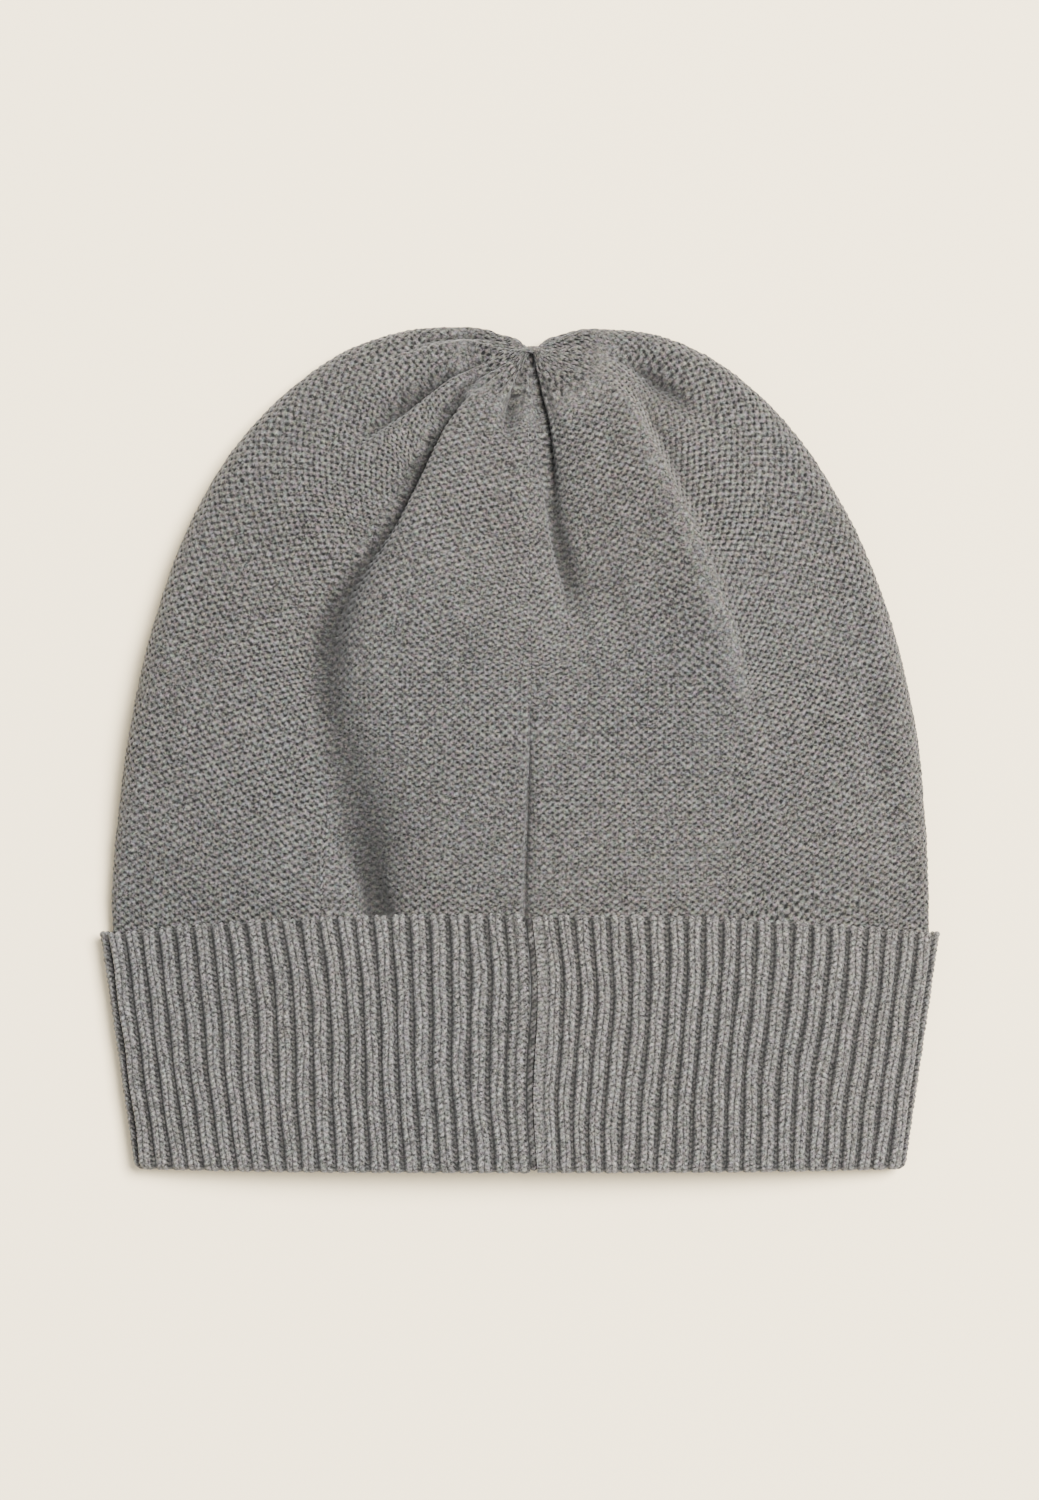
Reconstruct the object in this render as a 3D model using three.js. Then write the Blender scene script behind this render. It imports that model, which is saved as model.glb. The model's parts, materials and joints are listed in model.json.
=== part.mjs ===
// Knit cap lying flat, back side up: plain-knit crown with its purl side out, turned-up 1x1 rib band,
// one linked seam up the middle of the back, loops drawn in at the top.
// Millimetres. Z = 0 is the surface that the cap lies on, +Y points to the top of the crown,
// and X = 0 is the middle of the turned-up cuff.

import * as THREE from "three";
import { mergeVertices } from "three/addons/utils/BufferGeometryUtils.js";

const { PI, abs, cos, exp, hypot, max, min, sign, sin } = Math;
const { lerp, smoothstep } = THREE.MathUtils;

// Rows of numbers under their column names
function table(columns, rows) {
  return rows.map((row) => Object.fromEntries(columns.map((name, i) => [name, row[i]])));
}

// Driving dimensions
const CUFF_TOP_HALF_WIDTH = 110; // flat half width at the turn-up's top edge
const MOUTH_HALF_WIDTH = 101.4; // flat half width at the folded bottom edge
const MOUTH_Y = -110.6; // the folded bottom edge
const CUFF_TOP_Y = -43.3; // the turn-up's top edge at the middle of the back
const CUFF_TOP_ARCH = 5.3; // how far that edge drops at the side folds
const CUFF_TOP_ARCH_POWER = 2.4;
const EDGE_RADIUS = 5; // outer radius of the cuff's side folds, four layers of rib
const CUFF_BULGE = 9.4; // how far the upper side of the cuff stands over its side folds
const BULGE_POWER = 3; // 2 is a round back, more is a flatter one
const RIB_COUNT = 100; // ribs round the band, one knit and one purl wale each
const RIB_RELIEF = 0.35; // each side of the middle of the fabric
const RIB_THICKNESS = 1.5; // the fabric, without its relief
const CROWN_WALL = 2.2;
const GAP = 0.3; // between two pieces
const COURSES = 99; // knitted rows from the junction with the rib to the gathered top
const JUNCTION_Y = -53; // where plain knit meets rib, hidden under the turn-up
const SEAM_X = 2.6; // the back seam in the cuff
const SEAM_WIDTH = 1.2; // linked seam between the two ends of the fabric
const TIP = { x: 2.6, y: 103.4, z: 8, radius: 3.3 }; // the drawn-in ring at the top
const TIP_COURSE = 94; // from here up the crown closes into that ring
const NUB_RADIUS = 2.1;
const NUB_HEIGHT = 1.5;
const NUB_STEM_RADIUS = 0.75;
const NUB_STEM_LENGTH = 3;

// Layers of the cuff, counted inwards from its outer face
const RIB_ENVELOPE = RIB_THICKNESS + 2 * RIB_RELIEF;
const FOLD_RADIUS = (RIB_ENVELOPE + GAP) / 2; // middle of the fabric, at the folded bottom edge

// The crown laid flat, by knitted row: both side folds, the back seam, the height of the under side,
// the radius of the side folds, and how far the upper side bulges over them.
const CROWN_ROWS = table(
  ["course", "leftX", "leftY", "midX", "midY", "rightX", "rightY", "base", "edge", "bulge"],
  [
    [0, -106.6, -53, 2.4, -53, 106.6, -53, 2.5, 2.5, 9.4],
    [3, -107.4, -46.9, 2, -45, 107.2, -46.9, 2.5, 2.5, 9.4],
    [9, -106.9, -33.5, 1.6, -33, 106.4, -33.5, 0.5, 4.6, 10],
    [15, -105.9, -20, 1.8, -21.1, 105.7, -20, 0, 6.2, 9.8],
    [27, -102.2, 7.2, 3.6, 1.2, 102.8, 6.1, 0, 8, 9.2],
    [39, -95.7, 34.1, 3.3, 23.7, 97.3, 31.3, 0, 8, 10.2],
    [51, -86.2, 59.9, 2.4, 46, 87.6, 56.7, 0, 8, 10.4],
    [63, -71.5, 83, 2.6, 68.3, 73.9, 80, 0, 7.4, 9.6],
    [75, -50.5, 101.2, 2.6, 87.2, 54.5, 98.8, 0, 6.4, 7.8],
    [84, -31, 109, 2.6, 95, 36, 107.9, 0, 5.4, 6],
    [91, -12.5, 110.6, 2.6, 99.4, 18, 110, 0.8, 4.4, 4.2],
    [95, -4.4, 108.6, 2.6, 101.4, 9.8, 108.4, 2.2, 3.6, 2.8],
    [99, 0, 106.2, 2.6, 103.2, 5.2, 106.2, 4.2, 3.2, 1.6],
  ],
);

// Decrease lines of the shaped panel, as fractions of the half width from the back seam
const DARTS = table(
  ["course", "left", "right"],
  [
    [0, -0.5, 0.5],
    [27, -0.53, 0.56],
    [39, -0.59, 0.61],
    [51, -0.575, 0.59],
    [63, -0.48, 0.55],
    [75, -0.447, 0.515],
    [84, -0.39, 0.5],
    [99, -0.36, 0.5],
  ],
);

// Folds of the upper side, each from the top of the crown downwards. Depth is positive for a valley
// and negative for a ridge; left and right are the widths of its two slopes.
const FOLD_COLUMNS = ["x", "y", "depth", "left", "right"];
const FOLDS = {
  leftDart: table(FOLD_COLUMNS, [
    [-3, 100, 0.6, 2.5, 1.5],
    [-17.5, 91, 3, 5, 2.2],
    [-23.5, 85, 4, 6, 2.4],
    [-28.5, 73, 4.6, 8, 2.8],
    [-35, 63.5, 5.2, 9, 3.5],
    [-48, 44, 5.6, 12, 7],
    [-51, 30, 4.2, 12, 6],
    [-51, 15.5, 3.2, 12, 6.5],
    [-48.5, 2.5, 3.6, 12, 9],
    [-43.5, -13, 4.6, 11, 12],
    [-40.5, -25, 5.4, 10, 13],
    [-37.5, -38, 5.6, 8, 14],
    [-36, -50, 1.5, 8, 14],
  ]),
  centreFold: table(FOLD_COLUMNS, [
    [2.4, 102.5, 1.2, 1.5, 1.5],
    [5, 85, 3.8, 3, 3.5],
    [6.8, 70.5, 5, 3.2, 7],
    [8.4, 60.5, 5, 4, 11],
    [11.5, 47.3, 4.4, 5, 15],
    [14.2, 35.3, 2, 8, 16],
    [16, 26, 0, 10, 16],
  ]),
  rightDart: table(FOLD_COLUMNS, [
    [16, 100, -0.5, 6, 4],
    [25.4, 93.2, -1.5, 10, 6],
    [37, 73.5, -2, 14, 7],
    [46, 55.7, -2.2, 16, 8],
    [51, 40.8, -2.2, 16, 8],
    [56, 26, -2, 14, 8],
    [57.5, 6.4, -1.2, 14, 8],
    [63, -5, 0, 12, 8],
  ]),
  leftGather: table(FOLD_COLUMNS, [
    [-8, 104.5, 0.5, 2, 1.5],
    [-17, 101, 1.6, 3, 2.2],
    [-27, 95.5, 3, 4, 2.8],
    [-33, 89.5, 2.4, 4.5, 3.2],
    [-41, 82.5, 1.8, 6, 4],
    [-51, 74, 0, 8, 6],
  ]),
  rightGather: table(FOLD_COLUMNS, [
    [24, 106, 0.3, 3, 3],
    [34.6, 102, 2.8, 4, 4],
    [41, 97.5, 2.6, 4.5, 5],
    [47, 92.5, 1.8, 6, 6],
    [56, 83, 0.8, 9, 8],
    [64, 72, 0, 9, 8],
  ]),
  middleGather: table(FOLD_COLUMNS, [
    [1.4, 101, 0.5, 1.5, 1.5],
    [0, 93, 1.8, 2.4, 2],
    [-2.4, 85, 1.2, 3, 3],
    [-3.4, 77, 0, 3, 3],
  ]),
  rightSideHollow: table(FOLD_COLUMNS, [
    [84, 50, 0, 8, 5],
    [88.5, 33, 1.6, 9, 5],
    [92, 12, 1.9, 9, 5],
    [94.5, -6, 1.4, 9, 5],
    [95.5, -20, 0, 8, 5],
  ]),
  rightCuffHollow: table(FOLD_COLUMNS, [
    [56, -38, 0, 8, 7],
    [69, -37, 2.2, 9, 7],
    [82, -36.5, 2.2, 9, 7],
    [94, -38, 0, 8, 7],
  ]),
};

// Rows and columns of the crown's faces
const CROWN_MESH_COURSES = [
  0, 3, 6, 9, 13, 18, 24, 30, 36, 42, 48, 54, 60, 66, 71, 76, 80, 84, 88, 91, 94, 96.5, 99,
];
const CENTRE_PANEL_STEPS = [0, 0.1, 0.2, 0.34, 0.52, 0.74, 1];
const SIDE_PANEL_STEPS = [0, 0.16, 0.34, 0.52, 0.7, 0.8, 0.9, 1];
const UNDER_EDGE_STEPS = [0, 0.1, 0.2, 0.6, 1];
const UNDER_MIDDLE_STEPS = [0, 1];

// A smooth curve through one column of a table, at a value of its key column
function readColumn(rows, key, name, at) {
  let i = rows.findIndex((row) => row[key] >= at);
  i = min(max(i === -1 ? rows.length - 1 : i, 1), rows.length - 1);
  const slope = (k) => {
    const a = rows[max(k - 1, 0)];
    const b = rows[min(k + 1, rows.length - 1)];
    return (b[name] - a[name]) / (b[key] - a[key]);
  };
  const [low, high] = [rows[i - 1], rows[i]];
  const span = high[key] - low[key];
  const t = (at - low[key]) / span;
  return (
    low[name] * (2 * t ** 3 - 3 * t ** 2 + 1) +
    high[name] * (3 * t ** 2 - 2 * t ** 3) +
    slope(i - 1) * span * (t ** 3 - 2 * t ** 2 + t) +
    slope(i) * span * (t ** 3 - t ** 2)
  );
}

// Depth of one fold at a point seen from above
function foldDepth(path, x, y) {
  let nearest = Infinity;
  let depth = 0;
  for (let i = 1; i < path.length; i++) {
    const [a, b] = [path[i - 1], path[i]];
    const [dx, dy] = [b.x - a.x, b.y - a.y];
    const t = min(max(((x - a.x) * dx + (y - a.y) * dy) / (dx * dx + dy * dy), 0), 1);
    const [ox, oy] = [x - lerp(a.x, b.x, t), y - lerp(a.y, b.y, t)];
    const distance = hypot(ox, oy);
    if (distance >= nearest) continue;
    nearest = distance;
    const side = dx * oy - dy * ox > 0 ? "right" : "left";
    depth = lerp(a.depth, b.depth, t) * exp(-((distance / lerp(a[side], b[side], t)) ** 1.5));
  }
  return depth;
}

const relief = (x, y) => Object.values(FOLDS).reduce((sum, path) => sum + foldDepth(path, x, y), 0);

// Height of the crown's under side over the surface that it lies on
const baseHeight = (course) => max(readColumn(CROWN_ROWS, "course", "base", course), 0);

// One side fold of the crown at a row: the axis of its round edge, and the way it faces seen from above
function sideFold(course, side) {
  const step = 0.5;
  const read = (name, at) => readColumn(CROWN_ROWS, "course", side + name, min(max(at, 0), COURSES));
  const [x, y] = [read("X", course), read("Y", course)];
  const rise = (name) => read(name, course + step) - read(name, course - step);
  const along = [rise("X"), rise("Y")];
  const length = hypot(...along);
  const turn = side === "left" ? 1 : -1;
  const out = [(-turn * along[1]) / length, (turn * along[0]) / length];
  const radius = readColumn(CROWN_ROWS, "course", "edge", course);
  return { x: x - radius * out[0], y: y - radius * out[1], out, radius };
}

// A point of the crown's upper or under side. Across runs from -1 at the left side fold to 1 at the
// right one, and depth is how far the point lies inside the outer face.
function crownFlat(course, across, upper, depth) {
  const fold = sideFold(course, across < 0 ? "left" : "right");
  const middle = (name) => readColumn(CROWN_ROWS, "course", "mid" + name, course);
  const x = lerp(middle("X"), fold.x, abs(across));
  const y = lerp(middle("Y"), fold.y, across * across);
  const base = baseHeight(course);
  if (!upper) return [x, y, base + depth];
  const bulge = readColumn(CROWN_ROWS, "course", "bulge", course) * (1 - abs(across) ** BULGE_POWER);
  const edgeFade = 1 - abs(across) ** 10;
  return [x, y, base + 2 * fold.radius - depth + bulge - relief(x, y) * edgeFade];
}

// A point of the crown's round side edge; angle is a quarter turn at the upper side, minus one below
function crownEdge(course, side, angle, depth) {
  const fold = sideFold(course, side);
  const base = baseHeight(course);
  const reach = fold.radius - depth;
  return [
    fold.x + reach * cos(angle) * fold.out[0],
    fold.y + reach * cos(angle) * fold.out[1],
    base + fold.radius + reach * sin(angle),
  ];
}

// A point of the crown by row and by place round it: panels 0 to 7 run from the back seam over the
// right side, under the cap and back over the left side, and part is the fraction of the panel.
function crownPoint(course, panel, part, depth) {
  const dart = (side) => readColumn(DARTS, "course", side, course);
  const lines = [0, dart("right"), 1, 0.5, 0, -0.5, -1, dart("left"), 0];
  const upper = panel < 2 || panel > 5;
  const right = panel < 4;
  let point;
  if ([1, 2, 5, 6].includes(panel)) {
    const fold = sideFold(course, right ? "right" : "left");
    const midX = readColumn(CROWN_ROWS, "course", "midX", course);
    const inner = panel === 1 || panel === 5 ? lines[panel] : lines[panel + 1];
    const flat = abs(fold.x - midX) * (1 - abs(inner));
    const quarter = (PI / 2) * fold.radius;
    const towardsEdge = panel === 1 || panel === 5 ? part : 1 - part;
    const run = towardsEdge * (flat + quarter);
    if (run <= flat) {
      point = crownFlat(course, lerp(inner, sign(inner), run / flat), upper, depth);
    } else {
      const angle = (PI / 2) * (1 - (run - flat) / quarter);
      point = crownEdge(course, right ? "right" : "left", upper ? angle : -angle, depth);
    }
  } else {
    point = crownFlat(course, lerp(lines[panel], lines[panel + 1], part), upper, depth);
  }
  if (course <= TIP_COURSE) return point;
  const turn = PI / 2 - ((panel + part) * PI) / 4;
  const ring = TIP.radius - depth;
  const closed = [TIP.x + ring * cos(turn), TIP.y, TIP.z + ring * sin(turn)];
  const share = smoothstep(course, TIP_COURSE, COURSES);
  return point.map((value, i) => lerp(value, closed[i], share));
}

// A closed solid from two faces of the same grid of points: rows of columns, outer and inner.
// The faces are joined along all four sides.
function sheetSolid(outer, inner) {
  const rows = outer.length;
  const columns = outer[0].length;
  const positions = [...outer.flat(), ...inner.flat()].flat();
  const place = (face, row, column) => (face * rows + row) * columns + column;
  const triangles = [];
  const quad = (a, b, c, d) => triangles.push(a, c, b, a, d, c);
  for (let r = 0; r + 1 < rows; r++) {
    for (let c = 0; c + 1 < columns; c++) {
      quad(place(0, r, c), place(0, r + 1, c), place(0, r + 1, c + 1), place(0, r, c + 1));
      quad(place(1, r, c), place(1, r, c + 1), place(1, r + 1, c + 1), place(1, r + 1, c));
    }
    quad(place(0, r, 0), place(1, r, 0), place(1, r + 1, 0), place(0, r + 1, 0));
    const last = columns - 1;
    quad(place(0, r, last), place(0, r + 1, last), place(1, r + 1, last), place(1, r, last));
  }
  for (let c = 0; c + 1 < columns; c++) {
    quad(place(0, 0, c), place(0, 0, c + 1), place(1, 0, c + 1), place(1, 0, c));
    const top = rows - 1;
    quad(place(0, top, c), place(1, top, c), place(1, top, c + 1), place(0, top, c + 1));
  }
  const geometry = new THREE.BufferGeometry();
  geometry.setAttribute("position", new THREE.Float32BufferAttribute(positions, 3));
  geometry.setIndex(triangles);
  return mergeVertices(geometry, 1e-4);
}

// The shell between two depths, for a list of places round the crown
function crownShell(places, outerDepth, innerDepth, courses) {
  const row = (course, depth) => {
    return places(course).map(([panel, part]) => crownPoint(course, panel, part, depth));
  };
  const face = (depth) => courses.map((course) => row(course, depth));
  return sheetSolid(face(outerDepth), face(innerDepth));
}

// Where the edge of the fabric lies in a panel next to the seam, as a fraction of that panel
function seamShare(course, side, distance) {
  const midX = readColumn(CROWN_ROWS, "course", "midX", course);
  const dart = abs(readColumn(DARTS, "course", side, course));
  const flat = abs(sideFold(course, side).x - midX) * dart;
  const ring = (TIP.radius * PI) / 4;
  return distance / lerp(flat, ring, smoothstep(course, TIP_COURSE, COURSES));
}

function crownPlaces(course) {
  const steps = [
    CENTRE_PANEL_STEPS,
    SIDE_PANEL_STEPS,
    UNDER_EDGE_STEPS,
    UNDER_MIDDLE_STEPS,
    UNDER_MIDDLE_STEPS,
    UNDER_EDGE_STEPS.map((t) => 1 - t).reverse(),
    SIDE_PANEL_STEPS.map((t) => 1 - t).reverse(),
    CENTRE_PANEL_STEPS.map((t) => 1 - t).reverse(),
  ];
  const edge = SEAM_WIDTH / 2 + GAP;
  const places = steps.flatMap((list, panel) => list.slice(0, -1).map((part) => [panel, part]));
  places[0] = [0, seamShare(course, "right", edge)];
  places.push([7, 1 - seamShare(course, "left", edge)]);
  return places;
}

function makeCrown() {
  return crownShell(crownPlaces, 0, CROWN_WALL, CROWN_MESH_COURSES);
}

// The linked seam fills the slit between the two edges of the crown, and lies a little sunk in it
function makeCrownSeam() {
  const sunk = 0.4;
  const places = (course) => [
    [7, 1 - seamShare(course, "left", SEAM_WIDTH / 2)],
    [0, seamShare(course, "right", SEAM_WIDTH / 2)],
  ];
  return crownShell(places, sunk, CROWN_WALL, CROWN_MESH_COURSES);
}

// Half the flat width of the cuff at a height, measured to the axis of its side folds
function cuffFlat(y) {
  const share = (y - MOUTH_Y) / (CUFF_TOP_Y - CUFF_TOP_ARCH - MOUTH_Y);
  return lerp(MOUTH_HALF_WIDTH, CUFF_TOP_HALF_WIDTH, share) - EDGE_RADIUS;
}

// A point of the cuff: run is the distance round it from the back seam, over the right side first,
// as a fraction of the whole way round; reach is the distance from the axis of the side folds.
function cuffPoint(run, y, reach) {
  const flat = cuffFlat(y);
  const arc = PI * (EDGE_RADIUS - RIB_ENVELOPE / 2);
  const [toRight, toLeft] = [flat - SEAM_X, flat + SEAM_X];
  const whole = 2 * (toRight + toLeft) + 2 * arc;
  let left = run * whole;
  const above = (x) => [x, EDGE_RADIUS + reach + CUFF_BULGE * (1 - abs(x / flat) ** BULGE_POWER)];
  const turned = (x, angle) => [x + reach * cos(angle), EDGE_RADIUS + reach * sin(angle)];
  const pieces = [
    [toRight, (t) => above(SEAM_X + t)],
    [arc, (t) => turned(flat, PI / 2 - (PI * t) / arc)],
    [toRight + toLeft, (t) => [flat - t, EDGE_RADIUS - reach]],
    [arc, (t) => turned(-flat, -PI / 2 - (PI * t) / arc)],
    [toLeft, (t) => above(-flat + t)],
  ];
  for (const [length, place] of pieces) {
    if (left <= length || place === pieces[4][1]) {
      const [x, z] = place(min(left, length));
      return [x, y, z];
    }
    left -= length;
  }
}

// The band's fabric from the turn-up's top edge down, round the bottom fold and up the inner layer:
// reach is to the middle of the fabric, and out and down are the way its right side faces.
function bandPath(run) {
  const flat = cuffFlat(CUFF_TOP_Y);
  const x = cuffPoint(run, CUFF_TOP_Y, EDGE_RADIUS)[0];
  const topY = CUFF_TOP_Y - CUFF_TOP_ARCH * min(abs(x / flat), 1) ** CUFF_TOP_ARCH_POWER;
  const outerReach = EDGE_RADIUS - RIB_ENVELOPE / 2;
  const foldReach = outerReach - FOLD_RADIUS;
  const foldY = MOUTH_Y + FOLD_RADIUS + RIB_ENVELOPE / 2;
  const turns = [0, PI / 4, PI / 2, (3 * PI) / 4, PI];
  const fold = turns.map((turn) => ({
    y: foldY - FOLD_RADIUS * sin(turn),
    reach: foldReach + FOLD_RADIUS * cos(turn),
    out: cos(turn),
    down: sin(turn),
  }));
  const top = { y: topY, reach: outerReach, out: 1, down: 0 };
  const junction = { y: JUNCTION_Y - GAP, reach: outerReach - 2 * FOLD_RADIUS, out: -1, down: 0 };
  return [top, ...fold, junction];
}

// The folded band between two places round the cuff; wave shifts the fabric to its right side and back
function bandSolid(runs, wave, halfThickness) {
  const face = (side) => {
    const columns = runs.map((run, i) =>
      bandPath(run).map((stop) => {
        const shift = wave(i) + side * halfThickness;
        return cuffPoint(run, stop.y - shift * stop.down, stop.reach + shift * stop.out);
      }),
    );
    return columns[0].map((_, row) => columns.map((column) => column[row])).reverse();
  };
  return sheetSolid(face(1), face(-1));
}

function wholeWayRound(y) {
  return 4 * cuffFlat(y) + 2 * PI * (EDGE_RADIUS - RIB_ENVELOPE / 2);
}

// Ribs: a knit wale stands out and a purl wale lies back, turn by turn round the band
function makeRibBand() {
  const edge = (SEAM_WIDTH / 2 + GAP) / wholeWayRound(MOUTH_Y);
  const halfPitches = 2 * RIB_COUNT;
  const runs = Array.from({ length: halfPitches + 1 }, (_, i) => lerp(edge, 1 - edge, i / halfPitches));
  return bandSolid(runs, (i) => (i % 2 ? RIB_RELIEF : -RIB_RELIEF), RIB_THICKNESS / 2);
}

// The linked seam of the band, between its two ends and round the bottom fold with it
function makeCuffSeam() {
  const half = SEAM_WIDTH / 2 / wholeWayRound(CUFF_TOP_Y);
  const solid = bandSolid([0, half], () => -RIB_RELIEF, RIB_THICKNESS / 2);
  const position = solid.getAttribute("position");
  for (let i = 0; i < position.count; i++) {
    const fromSeam = position.getX(i) - SEAM_X;
    position.setX(i, SEAM_X + (fromSeam > SEAM_WIDTH / 8 ? SEAM_WIDTH / 2 : -SEAM_WIDTH / 2));
  }
  return solid;
}

// The drawn-in nub: a low dome over the gathered ring, with a short stem of thread inside it
function makeTopGather() {
  const profile = [
    [0, -NUB_STEM_LENGTH],
    [NUB_STEM_RADIUS, -NUB_STEM_LENGTH],
    [NUB_STEM_RADIUS, 0],
    [NUB_RADIUS, 0],
    [NUB_RADIUS * 0.94, NUB_HEIGHT * 0.5],
    [NUB_RADIUS * 0.6, NUB_HEIGHT * 0.88],
    [0, NUB_HEIGHT],
  ].map(([r, h]) => new THREE.Vector2(r, h));
  const nub = new THREE.LatheGeometry(profile, 12);
  nub.translate(0, GAP, 0);
  nub.deleteAttribute("normal");
  nub.deleteAttribute("uv");
  return mergeVertices(nub, 1e-4);
}

function yarn(name, colour) {
  return new THREE.MeshStandardMaterial({ name, color: colour, roughness: 0.95, metalness: 0 });
}

function piece(name, geometry, material) {
  const mesh = new THREE.Mesh(geometry, material);
  mesh.name = name;
  return mesh;
}

const crown = new THREE.Group();
crown.add(
  piece("crown", makeCrown(), yarn("plain knit", 0x85817d)),
  piece("crown_seam", makeCrownSeam(), yarn("crown linking", 0x6f6b67)),
);
const gather = piece("top_gather", makeTopGather(), yarn("gathering thread", 0x8d8985));
gather.position.set(TIP.x, TIP.y, TIP.z);
crown.add(gather);

const band = new THREE.Group();
band.add(
  piece("rib_band", makeRibBand(), yarn("rib knit", 0x827f7b)),
  piece("cuff_seam", makeCuffSeam(), yarn("cuff linking", 0x8b8783)),
);

const group = new THREE.Group();
group.name = "knit cap";
group.add(crown, band);

export default group;
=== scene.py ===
"""Knit cap lying flat, back side up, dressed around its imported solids.

The crown is plain knit with its purl side out, shaped by darts that run up to a gathered top.
The rib band is 1x1 rib, turned up once, so it runs down the cuff, round the folded edge and up inside.
One linked seam closes both at the back. Every stitch is modelled: rows of stitches are laid on the
cap's own surfaces, and the yarn stands out of them and sinks between them. Lengths are millimetres
until a mesh is made.
"""

import json
import math

import bpy
import numpy as np
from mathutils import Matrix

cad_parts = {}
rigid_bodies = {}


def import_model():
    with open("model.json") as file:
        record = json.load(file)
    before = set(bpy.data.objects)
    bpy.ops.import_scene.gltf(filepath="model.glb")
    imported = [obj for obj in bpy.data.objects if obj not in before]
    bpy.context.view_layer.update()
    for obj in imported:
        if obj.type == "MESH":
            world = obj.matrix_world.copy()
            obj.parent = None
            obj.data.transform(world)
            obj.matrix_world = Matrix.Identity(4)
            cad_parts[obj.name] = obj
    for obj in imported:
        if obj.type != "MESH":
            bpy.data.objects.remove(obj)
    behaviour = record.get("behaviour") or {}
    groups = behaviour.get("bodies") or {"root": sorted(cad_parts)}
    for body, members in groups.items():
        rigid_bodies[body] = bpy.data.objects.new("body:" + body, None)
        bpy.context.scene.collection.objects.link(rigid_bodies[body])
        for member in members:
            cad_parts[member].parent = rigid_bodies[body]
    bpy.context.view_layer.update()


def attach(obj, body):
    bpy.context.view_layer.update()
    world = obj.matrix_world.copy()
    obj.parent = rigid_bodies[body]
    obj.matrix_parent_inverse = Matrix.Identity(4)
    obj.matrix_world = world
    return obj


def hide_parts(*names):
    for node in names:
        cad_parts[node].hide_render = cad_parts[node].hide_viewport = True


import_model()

bl_info = {
    "name": "Knit Cap Dresser",
    "version": (1, 0, 0),
    "blender": (4, 5, 0),
    "location": "View3D > Sidebar > Knit Cap",
    "description": "Knits a flat-lying cap stitch by stitch: purl-side crown, turned-up rib, seams and nub",
    "category": "Object",
}

MM = 0.001
METRE = 1000  # in millimetres


def table(columns, rows):
    """Rows of numbers under their column names."""
    return dict(zip(columns.split(), np.array(rows, float).T))


# The cap's form, as its solids have it

# x runs to the right and y to the top in the view from above, and z up from the floor. The cuff's
# arch is how far its top edge drops from the middle to the sides.
CUFF_TOP_HALF_WIDTH = 110.6
MOUTH_HALF_WIDTH = 101.4
MOUTH_Y = -110.1
CUFF_TOP_Y = -42.2
CUFF_TOP_ARCH = 5.3
CUFF_TOP_ARCH_POWER = 2.4
EDGE_RADIUS = 5.0
CUFF_BULGE = 9.4
BULGE_POWER = 3.0
RIB_ENVELOPE = 2.2  # thickness of the rib fabric
LAYER_GAP = 0.3
FOLD_RADIUS = (RIB_ENVELOPE + LAYER_GAP) / 2
CROWN_WALL = 2.2
COURSES = 99.0  # rows of the form from the band to the top
JUNCTION_Y = -53.0  # where the crown begins
SEAM_X = 2.6
SEAM_HALF = 0.9
TIP = {"x": 3.2, "y": 105.8, "z": 8.0, "radius": 1.6}  # the ring of the crown's last row
TIP_COURSE = 97.2  # from here on the form turns into that ring

# Rows of the crown from the band to the top: the ends of its upper side and the middle of it, the
# height of the under side, the radius of the side folds and how far the upper side bulges
CROWN_ROWS = table("course left_x left_y mid_x mid_y right_x right_y base edge bulge", [
    [0, -106.6, -53, 1.4, -53, 107.2, -53, 2.5, 2.5, 9.4],
    [3, -107.4, -46.9, 1.3, -45, 107.8, -46.9, 2.5, 2.5, 9.4],
    [9, -107.2, -33.5, 1.4, -33, 107.4, -33.5, 0.5, 4.6, 10],
    [15, -106.1, -20, 1.8, -21.1, 106.7, -20, 0, 6.2, 9.8],
    [27, -102.2, 7.2, 2.5, 1.2, 103.8, 6.1, 0, 8, 9.2],
    [39, -95.9, 34.3, 2.8, 23.7, 98.2, 31.3, 0, 8, 10.2],
    [51, -86.1, 60.3, 2.4, 46, 88.6, 56.6, 0, 8, 10.4],
    [63, -71.8, 83.6, 2.6, 68.3, 75, 79.7, 0, 7.4, 9.6],
    [75, -50.8, 102, 2.6, 87.2, 55.7, 99.3, 0, 6.4, 7.8],
    [84, -31, 110, 2.6, 95, 37, 109, 0, 5.4, 6],
    [91, -12.5, 111.3, 2.6, 100, 18, 110.9, 0.8, 4.4, 4.2],
    [95, -4.6, 109.2, 2.6, 102.6, 10.2, 109, 2.2, 3.6, 2.8],
    [99, 0.8, 107.6, 2.8, 105, 5.2, 107.2, 4.2, 3.2, 1.6],
])

# Where the darts run, in parts of the way from the back seam to the side fold
DARTS = table("course left right", [
    [0, -0.5, 0.5],
    [27, -0.53, 0.56],
    [39, -0.59, 0.61],
    [51, -0.575, 0.59],
    [63, -0.48, 0.55],
    [75, -0.447, 0.515],
    [84, -0.39, 0.5],
    [99, -0.36, 0.5],
])


def fold(*rows):
    """A fold or hollow of the upper side, from the top of the crown downwards.

    Depth is negative for a ridge, and left and right are the widths of the two slopes.
    """
    return table("x y depth left right", rows)


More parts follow.
